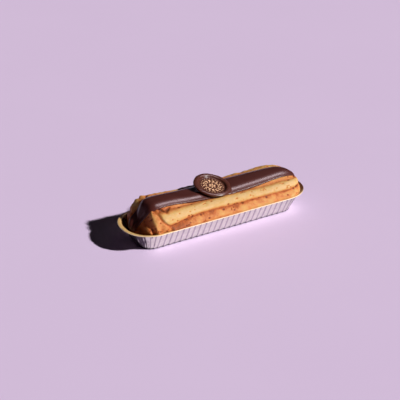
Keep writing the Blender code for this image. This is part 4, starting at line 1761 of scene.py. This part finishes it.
@dataclass
class Studio:
    """Plain pale floor, soft key light from the right, even fill, and the camera."""

    floor_size: float = 6.0
    key_way: tuple = (0.505, -0.656, 0.561)
    key_strength: float = 4.75
    key_softness: float = 2.8
    fill_color: Color = (0.85, 0.66, 1.0)
    fill_strength: float = 0.008
    overhead_way: tuple = (0.457, 0.08, 0.885)
    overhead_size: tuple = (0.30, 0.80)
    overhead_power: float = 7.6
    backfill_way: tuple = (0.457, 0.762, 0.458)
    backfill_size: tuple = (1.2, 1.2)
    backfill_power: float = 0.10
    sheet_distance: float = 1.3
    sheet_color: Color = (1.0, 0.86, 0.93)
    azimuth: float = -30.95
    elevation: float = 27.25
    distance: float = 1.0
    focal_length: float = 121.545
    sensor_width: float = 36.0
    aim_right: float = -9.33 * MM
    aim_up: float = 16.92 * MM

    def floor(self, paper: bpy.types.Material) -> None:
        """Lays the floor.

        Args:
            paper: Its material.
        """
        bm = bmesh.new()
        bmesh.ops.create_grid(bm, x_segments=8, y_segments=8, size=self.floor_size / 2)
        mesh = bpy.data.meshes.new("studio_floor")
        bm.to_mesh(mesh)
        bm.free()
        mesh.materials.append(paper)
        floor = bpy.data.objects.new("studio_floor", mesh)
        bpy.context.scene.collection.objects.link(floor)

    def lights(self) -> None:
        """Hangs the key light and sets the fill."""
        key = bpy.data.lights.new("key", "SUN")
        key.energy = self.key_strength
        key.angle = math.radians(self.key_softness)
        lamp = bpy.data.objects.new("key", key)
        lamp.rotation_euler = Vector(self.key_way).to_track_quat("Z", "Y").to_euler()
        bpy.context.scene.collection.objects.link(lamp)
        self.sheet("overhead", self.overhead_way, self.overhead_size, self.overhead_power)
        self.sheet("backfill", self.backfill_way, self.backfill_size, self.backfill_power)
        world = bpy.data.worlds.new("fill")
        world.use_nodes = True
        background = world.node_tree.nodes["Background"]
        background.inputs["Color"].default_value = with_alpha(self.fill_color)
        background.inputs["Strength"].default_value = self.fill_strength
        bpy.context.scene.world = world

    def sheet(self, name: str, way: tuple, size: tuple, power: float) -> None:
        """Hangs a soft sheet of light that faces the eclair.

        Args:
            name: Its name.
            way: The way to it from the eclair.
            size: Its two sides.
            power: Its power in watts.
        """
        light = bpy.data.lights.new(name, "AREA")
        light.shape = "RECTANGLE"
        light.size, light.size_y = size
        light.energy = power
        light.color = self.sheet_color
        lamp = bpy.data.objects.new(name, light)
        toward = Vector(way).normalized()
        lamp.rotation_euler = toward.to_track_quat("Z", "Y").to_euler()
        lamp.location = toward * self.sheet_distance
        lamp.visible_diffuse = False
        bpy.context.scene.collection.objects.link(lamp)

    def camera(self) -> None:
        """Stands the camera where the eclair is seen from."""
        azimuth = math.radians(self.azimuth)
        elevation = math.radians(self.elevation)
        level = math.cos(elevation)
        back = Vector((math.sin(azimuth) * level, -math.cos(azimuth) * level, math.sin(elevation)))
        right = Vector((math.cos(azimuth), math.sin(azimuth), 0.0))
        up = back.cross(right)
        aim = right * self.aim_right + up * self.aim_up
        lens = bpy.data.cameras.new("camera")
        lens.lens = self.focal_length
        lens.sensor_width = self.sensor_width
        lens.clip_start = 0.01
        camera = bpy.data.objects.new("camera", lens)
        placing = Matrix((right, up, back)).transposed().to_4x4()
        placing.translation = aim + back * self.distance
        camera.matrix_world = placing
        bpy.context.scene.collection.objects.link(camera)
        bpy.context.scene.camera = camera
        bpy.context.scene.view_settings.view_transform = "Standard"


def report(piece: bpy.types.Object) -> None:
    """Logs a finished piece.

    Args:
        piece: The piece.
    """
    evaluated = piece.evaluated_get(bpy.context.evaluated_depsgraph_get())
    triangles = sum(len(face.vertices) - 2 for face in evaluated.data.polygons)
    LOG.info("%s: %d triangles", piece.name, triangles)


def main() -> None:
    """Builds the eclair piece by piece, and the studio round it."""
    logging.basicConfig(level=logging.INFO, format="%(name)s: %(message)s")
    effects = EffectShelf()
    tray = FoilTray()
    # Painted light in these foil colours: groove is painted shade in the pleat folds and a painted dark reflection on
    # the right end's flange, shade is painted shade on the left end and the foot, and pale is a painted highlight on
    # the lip.
    pale = (0.86, 0.68, 0.46)
    silver = FoilFinish(
        FoilSide.SILVER, bright=(0.83, 0.84, 0.73), dull=(0.70, 0.71, 0.62), groove=(0.42, 0.38, 0.42),
        lip=pale, shade=(0.075, 0.055, 0.075), roughness=(0.38, 0.28), metallic=1.0,
    )
    gold = FoilFinish(
        FoilSide.GOLD, bright=(0.80, 0.50, 0.19), dull=(0.66, 0.40, 0.15), groove=(0.11, 0.036, 0.010),
        lip=pale, shade=(0.12, 0.040, 0.012), roughness=(0.42, 0.34), metallic=0.1,
    )
    seal = ChocolateSeal()
    choux = ChouxBody(tray, seal)
    seal_material = SealFinish().make(effects)
    pieces = [
        tray.build(silver.make(effects), gold.make(effects)),
        choux.build(ChouxFinish().make(effects)),
        IcingStrip().build(choux, seal, IcingFinish().make(effects)),
        seal.build(seal_material),
        GoldOrnament().build(GoldPrintFinish().make(effects), seal),
    ]
    for piece in pieces:
        report(piece)
    studio = Studio()
    studio.floor(FloorFinish().make(effects))
    studio.lights()
    studio.camera()


if __name__ == "__main__":
    main()
